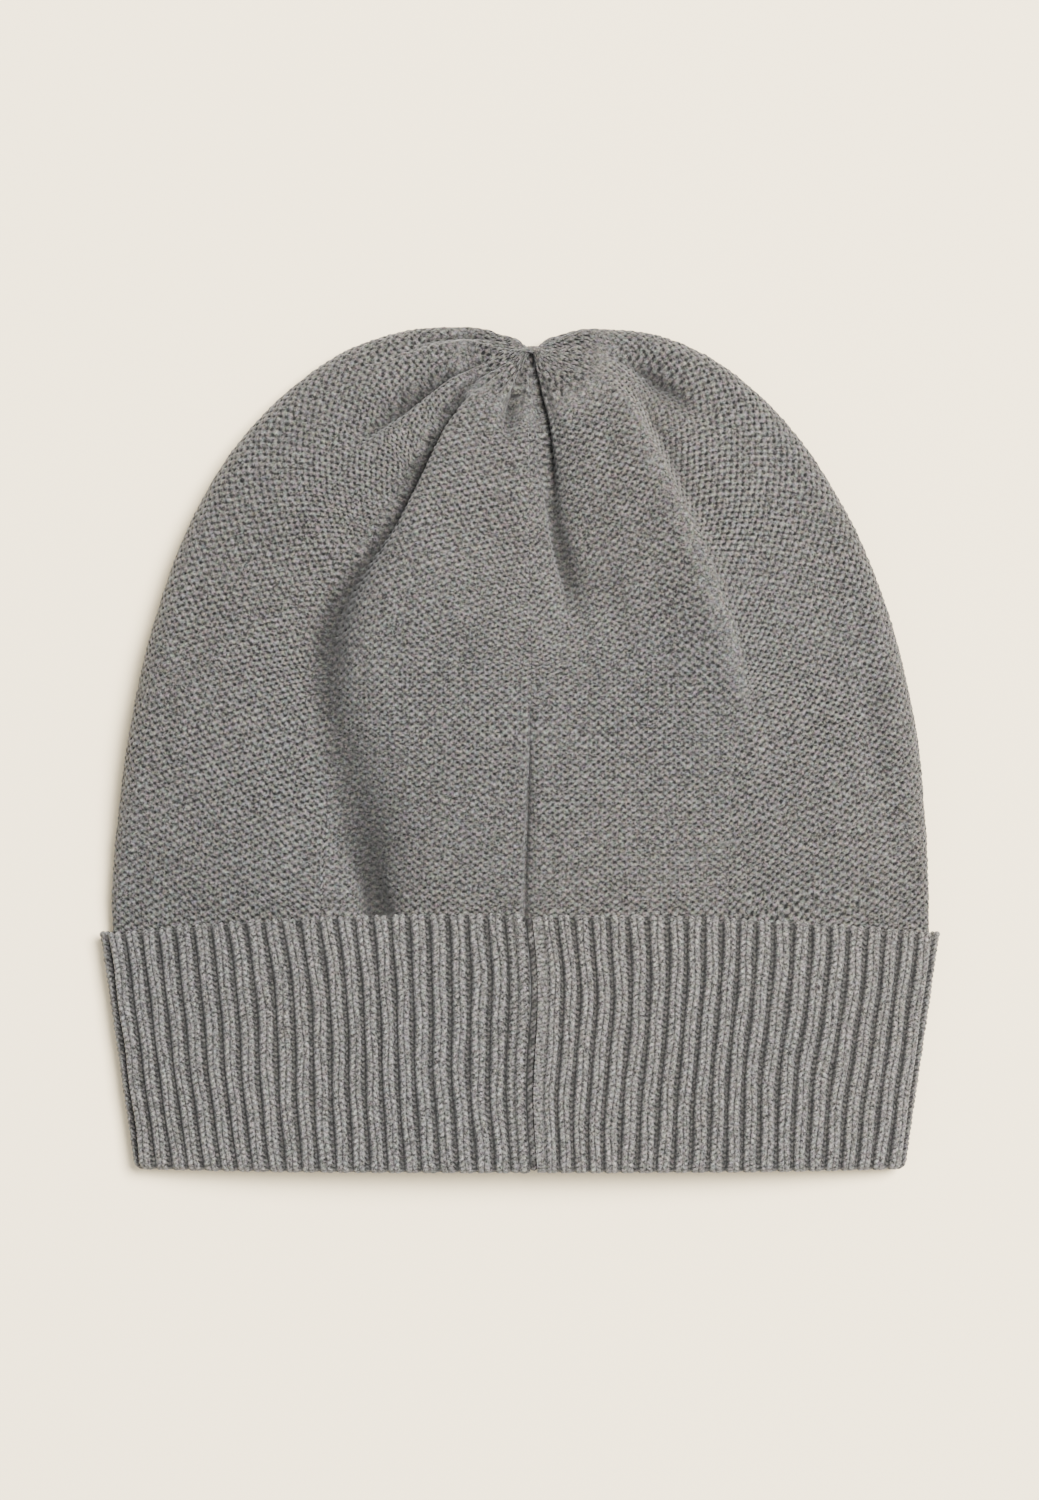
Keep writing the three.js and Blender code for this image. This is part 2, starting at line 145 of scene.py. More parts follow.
# Folds and hollows of the upper side, as the solids have them
FOLDS = {
    "left_dart": fold(
        [-3, 100, 0.6, 2.5, 1.5], [-17.5, 91, 3, 5, 2.2], [-23.5, 85, 4, 6, 2.4], [-28.5, 73, 4.6, 8, 2.8],
        [-35, 63.5, 5.2, 9, 3.5], [-48, 44, 5.6, 12, 7], [-51, 30, 4.2, 12, 6], [-51, 15.5, 3.2, 12, 6.5],
        [-48.5, 2.5, 3.6, 12, 9], [-43.5, -13, 4.6, 11, 12], [-40.5, -25, 5.4, 10, 13],
        [-37.5, -38, 5.6, 8, 14], [-36, -50, 1.5, 8, 14],
    ),
    "centre_fold": fold(
        [2.4, 102.5, 1.2, 1.5, 1.5], [5, 85, 3.8, 3, 3.5], [6.8, 70.5, 5, 3.2, 7], [8.4, 60.5, 5, 4, 11],
        [11.5, 47.3, 4.4, 5, 15], [14.2, 35.3, 2, 8, 16], [16, 26, 0, 10, 16],
    ),
    "right_dart": fold(
        [16, 100, -0.5, 6, 4], [25.4, 93.2, -1.5, 10, 6], [37, 73.5, -2, 14, 7], [46, 55.7, -2.2, 16, 8],
        [51, 40.8, -2.2, 16, 8], [56, 26, -2, 14, 8], [57.5, 6.4, -1.2, 14, 8], [63, -5, 0, 12, 8],
    ),
    "left_gather": fold(
        [-8, 104.5, 0.5, 2, 1.5], [-17, 101, 1.6, 3, 2.2], [-27, 95.5, 3, 4, 2.8],
        [-33, 89.5, 2.4, 4.5, 3.2], [-41, 82.5, 1.8, 6, 4], [-51, 74, 0, 8, 6],
    ),
    "right_gather": fold(
        [24, 106, 0.3, 3, 3], [34.6, 102, 2.8, 4, 4], [41, 97.5, 2.6, 4.5, 5], [47, 92.5, 1.8, 6, 6],
        [56, 83, 0.8, 9, 8], [64, 72, 0, 9, 8],
    ),
    "middle_gather": fold(
        [1.4, 101, 0.5, 1.5, 1.5], [0, 93, 1.8, 2.4, 2], [-2.4, 85, 1.2, 3, 3], [-3.4, 77, 0, 3, 3],
    ),
    "right_side_hollow": fold(
        [84, 50, 0, 8, 5], [88.5, 33, 1.6, 9, 5], [92, 12, 1.9, 9, 5], [94.5, -6, 1.4, 9, 5],
        [95.5, -20, 0, 8, 5],
    ),
    "right_cuff_hollow": fold(
        [56, -38, 0, 8, 7], [69, -37, 2.2, 9, 7], [82, -36.5, 2.2, 9, 7], [94, -38, 0, 8, 7],
    ),
}

# Firm creases in the knit along the folds' lines, too narrow for the solids
CREASES = {
    "left_dart": fold(
        [-2, 102.8, 0.6, 0.8, 0.8], [-8.5, 99, 2.0, 0.9, 1.0], [-14.7, 94.2, 3.0, 1.1, 1.2],
        [-20.5, 87, 3.4, 1.3, 1.6], [-25, 79, 3.5, 1.4, 1.8], [-30, 68.5, 3.4, 1.6, 2.0],
        [-35, 59, 3.4, 2.0, 2.6], [-41, 50, 3.4, 2.4, 3.4], [-47, 40, 3.6, 4, 5], [-50, 30, 3.1, 6, 7],
        [-50.5, 18, 2.7, 7, 9], [-49, 5, 2.3, 9, 12], [-44, -10, 2.4, 10, 15], [-40.5, -25, 2.8, 9, 14],
        [-38.5, -34, 3.4, 4, 5], [-37, -42, 4.6, 3, 4.2],
    ),
    "centre_fold": fold(
        [2.6, 102.5, 1.6, 0.8, 0.8], [3.1, 98, 2.0, 0.8, 0.8], [4.3, 92, 2.2, 0.8, 0.9],
        [5.5, 87, 2.4, 0.8, 1.0], [6.6, 80.6, 2.6, 0.9, 1.2], [7.2, 74, 2.8, 0.9, 1.4],
        [8.3, 62.5, 3.0, 0.9, 2.0], [10.0, 53, 3.2, 1.0, 3.4], [12.2, 44, 2.6, 1.6, 5],
        [14.2, 35.3, 1.4, 3, 6], [16, 25, 0, 3, 6],
    ),
    "middle_gather": fold(
        [1.6, 101, 1.4, 0.8, 0.8], [-0.5, 94.8, 2.2, 1.0, 0.9], [-1.8, 89.5, 3.2, 1.7, 1.2],
        [-2.8, 85, 2.4, 2.0, 1.5], [-3.6, 78, 0, 2.0, 1.5],
    ),
    "first_pleat": fold(
        [4.2, 101, 0.4, 0.6, 0.6], [5.2, 97, 0.8, 0.7, 0.7], [6.6, 91, 0.9, 0.7, 0.8],
        [8.6, 84.5, 0.7, 0.8, 0.9], [9.8, 78, 0, 0.8, 0.9],
    ),
    "second_pleat": fold(
        [0.4, 101, 0.3, 0.6, 0.6], [-3.4, 97, 1.1, 0.7, 0.7], [-7.6, 91.5, 1.0, 0.8, 0.8],
        [-11, 86, 0, 0.8, 0.8],
    ),
    "left_gather": fold(
        [-4, 104.2, 0.2, 1, 1], [-10.5, 102.1, 2.4, 1.2, 0.9], [-19.4, 98.5, 3.4, 2.0, 1.2],
        [-26.7, 93.2, 4.2, 3.0, 1.8], [-31, 89.5, 3.2, 2.8, 2.0], [-39, 83.3, 2.2, 3, 2.2],
        [-46, 77, 0, 3, 2],
    ),
    "top_tuck": fold(
        [-1, 106.6, 0, 0.8, 0.8], [-6, 108, 1.8, 1.1, 0.9], [-15, 108.8, 2.5, 1.3, 1.1],
        [-24, 107.4, 2.2, 1.4, 1.2], [-31, 104.8, 0, 1.6, 1.6],
    ),
    "top_ridge": fold(
        [-4, 105.4, -0.2, 1, 1], [-15, 106.6, -1.3, 1.1, 1.2], [-24, 104.8, -1.3, 1.2, 1.3],
        [-31, 101.6, -0.8, 1.4, 1.6], [-38, 97.5, 0, 1.6, 1.6],
    ),
    "right_gather": fold(
        [22, 104.5, 0.4, 1.6, 1.2], [31.5, 101.5, 2.8, 3.4, 1.5], [36.7, 98, 4.0, 4.5, 1.7],
        [42, 94, 3.0, 5, 2.0], [48, 88, 1.4, 5, 2.4], [54, 81, 0, 5, 3],
    ),
    "right_ridge": fold(
        [22, 97, -0.4, 2.5, 1.6], [29.4, 88.5, -1.6, 4.5, 1.8], [38.5, 68.8, -2.2, 6, 2.0],
        [47.2, 49.7, -2.3, 6, 2.0], [54, 30, -2.3, 6, 2.0], [57, 18, -1.8, 6, 2.4], [59, 4, 0, 5, 3],
    ),
    "centre_hollow": fold(
        [14, 66, 0, 5, 8], [20, 54, 1.4, 6, 10], [25, 42, 1.9, 8, 10], [30, 30, 1.3, 9, 10],
        [36, 16, 0, 9, 10],
    ),
    "right_side": fold(
        [86, 36, 0, 5, 4], [90, 22, 1.4, 6, 3.5], [93, 8, 1.8, 6, 3.5], [95, -8, 1.4, 6, 3.5],
        [96, -22, 0, 5, 4],
    ),
    "right_valley": fold(
        [30, 95, 0.6, 2, 4], [35.5, 85, 2.2, 2.4, 6], [43.5, 69, 2.0, 2.6, 7], [50.5, 54, 1.0, 3, 6],
        [56, 40, 0.4, 3, 5], [60, 28, 0, 3, 5],
    ),
}

# How the knit is laid on that form

WALE = 2.45  # width of a plain stitch
ROW_HEIGHT = 1.84  # height of a knitted row in the gores beside the back seam
SIDE_ROW_HEIGHT = 2.1  # and at the side folds
SIDE_LEAN = 0.11  # how far the wales of the side gores lean inwards from the side fold
CENTRE_LEAN = 0.05  # and those of the gores beside the back seam from the gore's middle
MATCH_COURSE = 15.0  # where the stitches of neighbouring gores meet
GATHER_COURSE = 86.0  # where the wales round the gathered top are counted
GATHER_WALE = 2.2  # width of those wales
GATHER_ROW = 3.1  # length of their stitches
GATHER_REACH = (25, 12)  # from the tip: where the stitches begin to run together, and where all have
MESH_STEP = 0.4  # width of the mesh on the upper side
COURSE_STEPS = 4  # rows of mesh to a row of the form
FRONT_MESH_STEP = 0.83  # the same two on the under side
FRONT_COURSE_STEPS = 2
INSIDE_ROW = 1.5  # rows of the form to a row of mesh on the inside of the crown
INSIDE_DEPTH = 2.4  # how far the inside face lies under the outer one
GUIDE_POINTS = 265  # points along the line that a gore's wales follow
POINTS_AT_A_TIME = 20000  # in the search for the nearest part of that line

# From the tip: between which distances the relief fades, and between which the holes open
TIP_FADE = (7, 2)
TIP_HOLES = (0, 5)
UNDER_CUFF_ROWS = (6.5, 4.0)  # the rows over which the crown sinks under the cuff
UNDER_CUFF_DEPTH = 0.25

# How deep the back seam draws the fabric in: depth and width of the slopes beside it
SEAM_RIGHT_EDGE = (1.8, 0.75)
SEAM_RIGHT_SLOPE = (0.7, 3.2)
SEAM_LEFT_EDGE = (2.5, 0.55)
SEAM_LEFT_RIDGE = (0.2, 1.1)
SEAM_LEFT_RIDGE_AT = 1.6
SEAM_PULL_ROWS = (37, 17)  # the rows over which the pull grows to its full strength at the cuff
SEAM_PULL_LEAST = 0.04

# Depths over which a crease gets painted shade, a ridge a painted highlight and the seam's slope painted
# shade in the yarn's colour
CREASE_SHADE = (1.0, 3.2)
RIDGE_LIGHT = (0.8, 1.9)
DIP_SHADE = (0.8, 2.2)

# Slow variation of the knit: amount, size and seed of each wave
WALE_WANDER = ((0.1, 9.0, 5), (0.25, 38.0, 15))
ROW_WANDER = ((0.1, 7.0, 6), (0.3, 33.0, 16))
RING_WANDER = ((0.15, 11.0, 7),)
HEIGHT_WANDER = ((0.22, 34.0, 9),)
OPEN_WANDER = ((0.2, 42.0, 12),)
CUFF_WANDER = ((0.25, 46.0, 21),)

# The rows of loops on the back of plain knit, as places and sizes in parts of a stitch
PURL_LOOPS = table("wale row bend half_wale size", [
    [0.0, 0.5, 0.3, 0.54, 1.0],
    [0.5, -0.09, -0.3, 0.45, 0.92],
])

# The seams and the nub

CROWN_SEAM_HALF = 0.6
SEAM_STEPS = 3  # rows of mesh to a row of the form or of the band along the seams
CROWN_LINKS = 0.8  # links to a row of the form
CUFF_LINKS = 0.9
CUFF_LINK_SLANT = 0.45  # rows of links from the seam's middle to its side

NUB_RADIUS = 1.25
NUB_HEIGHT = 0.7  # of its dome
NUB_STEM_RADIUS = 0.7
NUB_STEM_ENDS = (-0.5, -3.0)  # from the tip into the crown
NUB_COLUMNS = 36
NUB_ROWS = 22

# The rib band, in rows from the turn-up's top edge

CUFF_COURSES = 43
FOLD_COURSES = 5
INNER_COURSES = 38
LAST_COURSE = CUFF_COURSES + FOLD_COURSES + INNER_COURSES
SEAM_COLUMN_LEFT = 5.4  # the wale that the cuff's seam pulls wide
SEAM_STRIP_RIGHT = 2.5  # the flat strip on the seam's right
SEAM_RIB_RIGHT = 3.9  # and the rib beside it
RIBS = {"left": 24, "right": 23, "front": 45}
# Columns of mesh over one rib, on the upper side and on the under side
RIB_STEPS = (0, 0.09, 0.16, 0.24, 0.33, 0.42, 0.47, 0.5, 0.53, 0.58, 0.67, 0.76, 0.84, 0.91)
FRONT_RIB_STEPS = (0, 0.12, 0.25, 0.36, 0.5, 0.64, 0.75, 0.88)
RIB_UNEVEN = 0.14  # how much the ribs' widths differ
RIB_SWAY = 2.2  # how far the ribs wander sideways
RIB_SWAY_SIZE = 62.0
RIB_SWAY_SEED = 33
RIB_SEEDS = {"left": 2, "right": 5, "front": 7}
RIM_DEGREES = [25, 50, 75, 100, 125, 150]  # the mesh's steps round the rim of the turn-up
WRONG_SIDE = -0.95  # the band's wrong side, from the middle of its fabric
REFERENCE_Y = -55.0  # where the widths of the ribs are measured
FULL_RIB_DEPTH = 0.0014  # the rib depth that the heights in rib_relief are given for
RIB_SWAY_END = 100.0  # how far from the middle it has died out
UPPER_SIDE_RISE = 1.5  # above the side folds' axis, from where on it is in full
SEAM_STEP = 0.35  # how much lower the turn-up's edge lies right of the seam
SEAM_STEP_FADE = (60, 10)  # the places along the edge between which it sinks to that
FOLD_EASE_ROWS = 2.6  # how far round the fold its stretch flattens the ribs
FOLD_EASE = 0.65  # and by how much
RIM_ROWS = (1.6, 0.2)  # the last rows of the turn-up, where its edge is full
RIM_LEAST = 0.25
CUFF_WANDER_FADE = (104, 90)  # between these distances from the middle the cuff begins to wave
WRONG_SIDE_FOLD_ROWS = (46.7, 45.5, 44.2)  # rows of mesh inside the fold

# One rib, in parts of its width and of a row, with its middle at 0.5
RIB_BEND = (0.06, 0.42)  # how far it snakes, and its turn from row to row in radians
RIB_HALF = 0.425
LEG_PLACE = 0.19  # from the rib's middle to its legs
LEG_HALF = 0.18
LEG_SLANT = 2.0  # rows that a leg's loops rise over a whole wale
BEAD_SHIFT = 0.06  # how far the purl beads lie off the furrow's middle
BEAD_HALF = 0.11
BEAD_HALF_ROW = 0.4
# Of the furrow, and what the rib's body, its legs and the beads add to that
RIB_HEIGHTS = (-1.6, 0.8, 0.8, 0.6)
# The lifts set painted shade in the rib yarn's colour: darkest in the furrow, lighter on body, legs and beads
RIB_LIFTS = (0.08, 0.22, 0.7, 0.3)
STRIP_SIDE = (0.42, 0.3)  # where the first rib begins to run out into the flat strip


def read(rows, name, at):
    """A smooth curve through one column of a table, at values of its course column."""
    keys, values = rows["course"], rows[name]
    at = np.asarray(at, float)
    last = len(keys) - 1
    high = np.clip(np.searchsorted(keys, at), 1, last)
    low = high - 1

    def slope(k):
        before, after = np.maximum(k - 1, 0), np.minimum(k + 1, last)
        return (values[after] - values[before]) / (keys[after] - keys[before])

    span = keys[high] - keys[low]
    t = (at - keys[low]) / span
    return (
        values[low] * (2 * t**3 - 3 * t**2 + 1)
        + values[high] * (3 * t**2 - 2 * t**3)
        + slope(low) * span * (t**3 - 2 * t**2 + t)
        + slope(high) * span * (t**3 - t**2)
    )


def fold_depth(path, x, y):
    """Depth of one fold at points seen from above."""
    nearest = np.full(x.shape, np.inf)
    depth = np.zeros(x.shape)
    for i in range(len(path["x"]) - 1):
        ax, ay, bx, by = path["x"][i], path["y"][i], path["x"][i + 1], path["y"][i + 1]
        dx, dy = bx - ax, by - ay
        t = np.clip(((x - ax) * dx + (y - ay) * dy) / (dx * dx + dy * dy), 0, 1)
        ox, oy = x - ax - t * dx, y - ay - t * dy
        distance = np.hypot(ox, oy)
        level, left, right = (
            path[name][i] + t * (path[name][i + 1] - path[name][i]) for name in ("depth", "left", "right")
        )
        width = np.where(dx * oy - dy * ox > 0, right, left)
        closer = distance < nearest
        depth = np.where(closer, level * np.exp(-((distance / width) ** 1.5)), depth)
        nearest = np.where(closer, distance, nearest)
    return depth


def relief(x, y):
    return sum(fold_depth(path, x, y) for path in FOLDS.values())


def smoothstep(value, low, high):
    t = np.clip((value - low) / (high - low), 0, 1)
    return t * t * (3 - 2 * t)


def mix(a, b, t):
    return a + (b - a) * t


def side_fold(course, side):
    """One side fold of the crown at some rows: the axis of its round edge, its direction and its radius."""
    step = 0.5
    x, y = read(CROWN_ROWS, side + "_x", course), read(CROWN_ROWS, side + "_y", course)
    before, after = np.clip(course - step, 0, COURSES), np.clip(course + step, 0, COURSES)
    dx = read(CROWN_ROWS, side + "_x", after) - read(CROWN_ROWS, side + "_x", before)
    dy = read(CROWN_ROWS, side + "_y", after) - read(CROWN_ROWS, side + "_y", before)
    turn = 1 if side == "left" else -1
    length = np.hypot(dx, dy)
    out_x, out_y = -turn * dy / length, turn * dx / length
    radius = read(CROWN_ROWS, "edge", course)
    return x - radius * out_x, y - radius * out_y, out_x, out_y, radius


def base_height(course):
    return np.maximum(read(CROWN_ROWS, "base", course), 0)


def half_width(course, side):
    """Flat distance from the back seam's line to the axis of a side fold."""
    return np.abs(side_fold(course, side)[0] - read(CROWN_ROWS, "mid_x", course))


def crown_flat(course, across, side, upper, depth):
    """Points of the upper or under side; across is 0 at the seam's line and 1 at the side fold."""
    fold_x, fold_y, _, _, radius = side_fold(course, side)
    x = mix(read(CROWN_ROWS, "mid_x", course), fold_x, across)
    y = mix(read(CROWN_ROWS, "mid_y", course), fold_y, across * across)
    base = base_height(course)
    if not upper:
        return stacked(x, y, base + depth)
    bulge = read(CROWN_ROWS, "bulge", course) * (1 - np.abs(across) ** BULGE_POWER)
    edge_fade = 1 - np.clip(np.abs(across), 0, 1) ** 10
    return stacked(x, y, base + 2 * radius - depth + bulge - relief(x, y) * edge_fade)


def crown_edge(course, side, angle, depth):
    """Points of the round side edge; angle is a quarter turn on the upper side and minus that below."""
    fold_x, fold_y, out_x, out_y, radius = side_fold(course, side)
    reach = radius - depth
    z = base_height(course) + radius + reach * np.sin(angle)
    return stacked(fold_x + reach * np.cos(angle) * out_x, fold_y + reach * np.cos(angle) * out_y, z)


def tip_ring(angle, reach, height):
    """Points round the axis of the gathered top, a height beyond its last row."""
    return stacked(TIP["x"] + reach * np.cos(angle), TIP["y"] + height, TIP["z"] + reach * np.sin(angle))


class Panel:
    """A stretch of the crown between two lines that run up to the gathered top.

    Places in it are millimetres round the cap from its first line, over the right side first. Its kind
    is centre (back seam to dart), side (dart, round the side fold, to the under side), under (on to the
    dart of the under side) or front (between those two darts).
    """

    def __init__(self, side, kind, ring, columns):
        self.side = side
        self.kind = kind
        self.ring = ring  # the panel's first and last place on the ring at the top, in eighths of a turn
        self.columns = columns  # of mesh on the inside of the crown

    def dart(self, course):
        return np.abs(read(DARTS, self.side, course))

    def length(self, course):
        half = half_width(course, self.side)
        ring = TIP["radius"] * math.pi / 4 * (self.ring[1] - self.ring[0])
        if self.kind == "centre":
            flat = half * self.dart(course)
        elif self.kind == "side":
            flat = half * (1 - self.dart(course)) + math.pi * side_fold(course, self.side)[4]
        elif self.kind == "under":
            flat = half * 0.5
        else:
            flat = 0.5 * (half + half_width(course, "left"))
        return mix(flat, ring, smoothstep(course, TIP_COURSE, COURSES))

    def point(self, course, place, depth):
        """Points on the panel's surface, a depth inside the cap's outer face."""
        share = place / self.length(course)
        outward = share if self.side == "right" else 1 - share
        half = half_width(course, self.side)
        dart = self.dart(course)
        if self.kind == "centre":
            flat = crown_flat(course, outward * dart, self.side, True, depth)
        elif self.kind == "under":
            flat = crown_flat(course, 1 - outward * 0.5, self.side, False, depth)
        elif self.kind == "front":
            right = crown_flat(course, 0.5 - share, "right", False, depth)
            left = crown_flat(course, share - 0.5, "left", False, depth)
            flat = np.where((share < 0.5)[..., None], right, left)
        else:
            radius = side_fold(course, self.side)[4]
            straight = half * (1 - dart)
            run = outward * (straight + math.pi * radius)
            on_top = crown_flat(course, dart + np.minimum(run, straight) / half, self.side, True, depth)
            angle = math.pi / 2 - np.maximum(run - straight, 0) / radius
            flat = np.where((run <= straight)[..., None], on_top, crown_edge(course, self.side, angle, depth))
        turn = math.pi / 2 - mix(self.ring[0], self.ring[1], share) * math.pi / 4
        ring = tip_ring(turn, np.maximum(TIP["radius"] - depth, 0.3), 0.0)
        return mix(flat, ring, smoothstep(course, TIP_COURSE, COURSES)[..., None])

    def facing(self, course, place, depth):
        """Outward unit normals."""
        row_step, place_step = 0.2, 0.3
        low = np.minimum(course, COURSES - row_step)
        share = place / self.length(course)
        here = self.point(low, share * self.length(low), depth)
        up = self.point(low + row_step, share * self.length(low + row_step), depth) - here
        along = self.point(low, share * self.length(low) + place_step, depth) - here
        normal = np.cross(along, up)
        return normal / np.linalg.norm(normal, axis=-1, keepdims=True)

    def dart_ends(self):
        """Which of a row's vertices lie on the line of a dart: positions in the row."""
        if self.kind == "front":
            return [0, -1]
        if self.kind == "centre":
            return [-1 if self.side == "right" else 0]
        return []

    def guide(self):
        """The line that the gore's wales follow, seen from above: its points and its length so far."""
        course = np.linspace(0, COURSES, GUIDE_POINTS)
        if self.kind in ("side", "under"):
            x, y, out_x, out_y, radius = side_fold(course, self.side)
            edge = np.hypot(np.diff(x + radius * out_x), np.diff(y + radius * out_y))
            edge = edge * (1 - 0.16 * smoothstep(course[1:], 34, 66))
            return x, y, np.concatenate([[0], np.cumsum(edge)])
        if self.kind == "centre":
            x, y, _ = crown_flat(course, self.dart(course) / 2, self.side, True, 0.0).T
        else:
            x, y = read(CROWN_ROWS, "mid_x", course), read(CROWN_ROWS, "mid_y", course)
        return x, y, np.concatenate([[0], np.cumsum(np.hypot(np.diff(x), np.diff(y)))])

    def lattice(self, course, place):
        """Wale and row numbers of places: a gore's wales run along its guide, and its rows square to them."""
        low = np.minimum(course, TIP_COURSE)
        surface = self.point(low, place / self.length(course) * self.length(low), 0.0)
        guide = self.guide()
        off, run = beside_line(*guide, surface[..., 0], surface[..., 1])
        if self.kind in ("side", "under"):
            radius = side_fold(course, self.side)[4]
            quarter = math.pi / 2 * radius
            distance = np.abs(off) + quarter
            if self.kind == "under":
                distance = -distance
            else:
                straight = half_width(course, self.side) * (1 - self.dart(course))
                share = place / self.length(course)
                outward = share if self.side == "right" else 1 - share
                walked = outward * (straight + math.pi * radius) - straight
                fold_run = np.interp(course, np.linspace(0, COURSES, GUIDE_POINTS), guide[2])
                run = np.where(walked > 0, fold_run, run)
                distance = np.where(walked > 0, quarter - walked, distance)
            turn = -1 if self.side == "right" else 1
            return turn * (distance - SIDE_LEAN * run) / WALE, (run + SIDE_LEAN * distance) / SIDE_ROW_HEIGHT
        if self.kind == "front":
            return -off / WALE, run / ROW_HEIGHT
        lean = CENTRE_LEAN * (1 if self.side == "right" else -1)
        return (off + lean * run) / WALE, (run - lean * off) / ROW_HEIGHT

    def match(self):
        """How far the centre gore's wale and row numbers are shifted to meet the side gore's at the dart."""
        side = SIDE_RIGHT if self.side == "right" else SIDE_LEFT
        course = np.array([MATCH_COURSE])
        own_place, side_place = self.length(course), 0 * course
        if self.side == "left":
            own_place, side_place = 0 * course, side.length(course)
        own, other = self.lattice(course, own_place), side.lattice(course, side_place)
        return other[0] - own[0], other[1] - own[1]


def beside_line(line_x, line_y, line_run, x, y):
    """How far points seen from above lie off a line, positive on its right, and where along it."""
    flat_x, flat_y = x.ravel(), y.ravel()
    mid_x, mid_y = (line_x[1:] + line_x[:-1]) / 2, (line_y[1:] + line_y[:-1]) / 2
    nearest = np.zeros(flat_x.shape, int)
    for start in range(0, len(flat_x), POINTS_AT_A_TIME):
        chunk = slice(start, start + POINTS_AT_A_TIME)
        away = (flat_x[chunk, None] - mid_x) ** 2 + (flat_y[chunk, None] - mid_y) ** 2
        nearest[chunk] = away.argmin(1)
    ax, ay = line_x[nearest], line_y[nearest]
    dx, dy = line_x[nearest + 1] - ax, line_y[nearest + 1] - ay
    length = np.hypot(dx, dy)
    along = ((flat_x - ax) * dx + (flat_y - ay) * dy) / length
    off = ((flat_x - ax) * dy - (flat_y - ay) * dx) / length
    run = line_run[nearest] + along / length * (line_run[nearest + 1] - line_run[nearest])
    return off.reshape(x.shape), run.reshape(x.shape)


SIDE_RIGHT = Panel("right", "side", (1, 2.5), 26)
SIDE_LEFT = Panel("left", "side", (5.5, 7), 26)
CROWN_BACK_RIGHT = [Panel("right", "centre", (0, 1), 18), SIDE_RIGHT]
CROWN_FRONT = [
    Panel("right", "under", (2.5, 3), 8),
    Panel("right", "front", (3, 5), 16),
    Panel("left", "under", (5, 5.5), 8),
]
CROWN_BACK_LEFT = [SIDE_LEFT, Panel("left", "centre", (7, 8), 18)]


# Chance that is the same each run

CHANCE_FACTORS = (12.9898, 78.233, 37.719)
CHANCE_SCALE = 43758.5453


def chance(*counts):
    """A number from 0 to 1 for each set of whole numbers."""
    mixed = np.zeros(np.broadcast(*counts).shape)
    for count, factor in zip(counts, CHANCE_FACTORS):
        mixed = mixed + np.asarray(count, float) * factor
    return np.modf(np.abs(np.sin(mixed) * CHANCE_SCALE))[0]


def drift(x, y, size, seed):
    """Slow variation over the fabric, from -1 to 1."""
    rng = np.random.default_rng(seed)
    total = np.zeros(np.broadcast(x, y).shape)
    waves = 6
    for _ in range(waves):
        angle = rng.uniform(0, 2 * math.pi)
        wave = 2 * math.pi / (size * rng.uniform(0.6, 1.6))
        start = rng.uniform(0, 2 * math.pi)
        total = total + np.sin((x * math.cos(angle) + y * math.sin(angle)) * wave + start)
    return total / waves


def wander(points, waves):
    """Sum of slow variations at points."""
    return sum(amount * drift(points[..., 0], points[..., 1], size, seed) for amount, size, seed in waves)


# Stitch forms: how far the yarn stands out, 0 in the gaps between loops and 1 on their crests; as lift, the
# value also sets painted shade in the gaps

def arc(distance, half):
    return np.sqrt(np.clip(1 - (distance / half) ** 2, 0, 1))


def bell(distance, width):
    return np.exp(-((distance / width) ** 2))


def in_row(row):
    """Place in a row of stitches, from -0.5 to 0.5."""
    return row - np.floor(row) - 0.5


def purl_side(wale, row):
    """The back of plain knit: rows of loop heads, and half a row lower the sinkers between them.

    Small holes are left under the heads and smaller ones between them.
    """
    best = np.zeros(np.broadcast(wale, row).shape)
    for offset_wale, offset_row, bend, half_wale, size in zip(*PURL_LOOPS.values()):
        column = np.round(wale - offset_wale)
        across = wale - offset_wale - column
        bent = row - offset_row + bend * across**2
        number = np.round(bent)
        along = bent - number + 0.08 * (chance(column, number, 6) - 0.5)
        across = across + 0.1 * (chance(column, number, 1) - 0.5)
        rise = size * (0.8 + 0.2 * chance(number, column, 4))
        form = np.abs(across / half_wale) ** 2.4 + np.abs(along / 0.45) ** 2.4
        best = np.maximum(best, rise * np.sqrt(np.clip(1 - form, 0, 1)))
    return best


def gathered_columns(wale, row):
    """Close to the top the wales are drawn together and stand up like cords of long stitches."""
    column = np.round(wale)
    across = wale - column
    bent = row + 0.6 * np.abs(across) + chance(column, 4)
    rise = 0.7 + 0.3 * chance(column, np.floor(bent), 6)
    return rise * (0.42 + 0.58 * arc(across, 0.45) * (0.4 + 0.6 * arc(in_row(bent), 0.48)))


# Meshes from rows of points

def zip_chains(first, second):
    """Triangles between two chains of vertex numbers that run side by side."""
    triangles = []
    i = j = 0
    last_i, last_j = len(first) - 1, len(second) - 1
    while i < last_i or j < last_j:
        if j == last_j or (i < last_i and (i + 0.5) * last_j <= (j + 0.5) * last_i):
            triangles.append((first[i], first[i + 1], second[j]))
            i += 1
        else:
            triangles.append((first[i], second[j + 1], second[j]))
            j += 1
    return triangles


def join_rows(low, high, quads, triangles):
    """Faces between two rows that share lattice columns; a row is (first lattice number, vertex numbers).

    The first and last vertices of a row lie on the panel's lines, and those between on the lattice.
    """
    (low_start, low_row), (high_start, high_row) = low, high
    low_end = low_start + len(low_row) - 3
    high_end = high_start + len(high_row) - 3
    start, end = max(low_start, high_start), min(low_end, high_end)
    if end <= start:
        triangles.extend(zip_chains(list(low_row), list(high_row)))
        return
    a = low_row[1 + start - low_start: 2 + end - low_start]
    b = high_row[1 + start - high_start: 2 + end - high_start]
    quads.append(stacked(a[:-1], a[1:], b[1:], b[:-1]))
    before = list(low_row[: 2 + start - low_start]), list(high_row[: 2 + start - high_start])
    after = list(low_row[1 + end - low_start:]), list(high_row[1 + end - high_start:])
    triangles.extend(zip_chains(*before) + zip_chains(*after))


def grid(rows, columns):
    return np.meshgrid(rows, columns, indexing="ij")


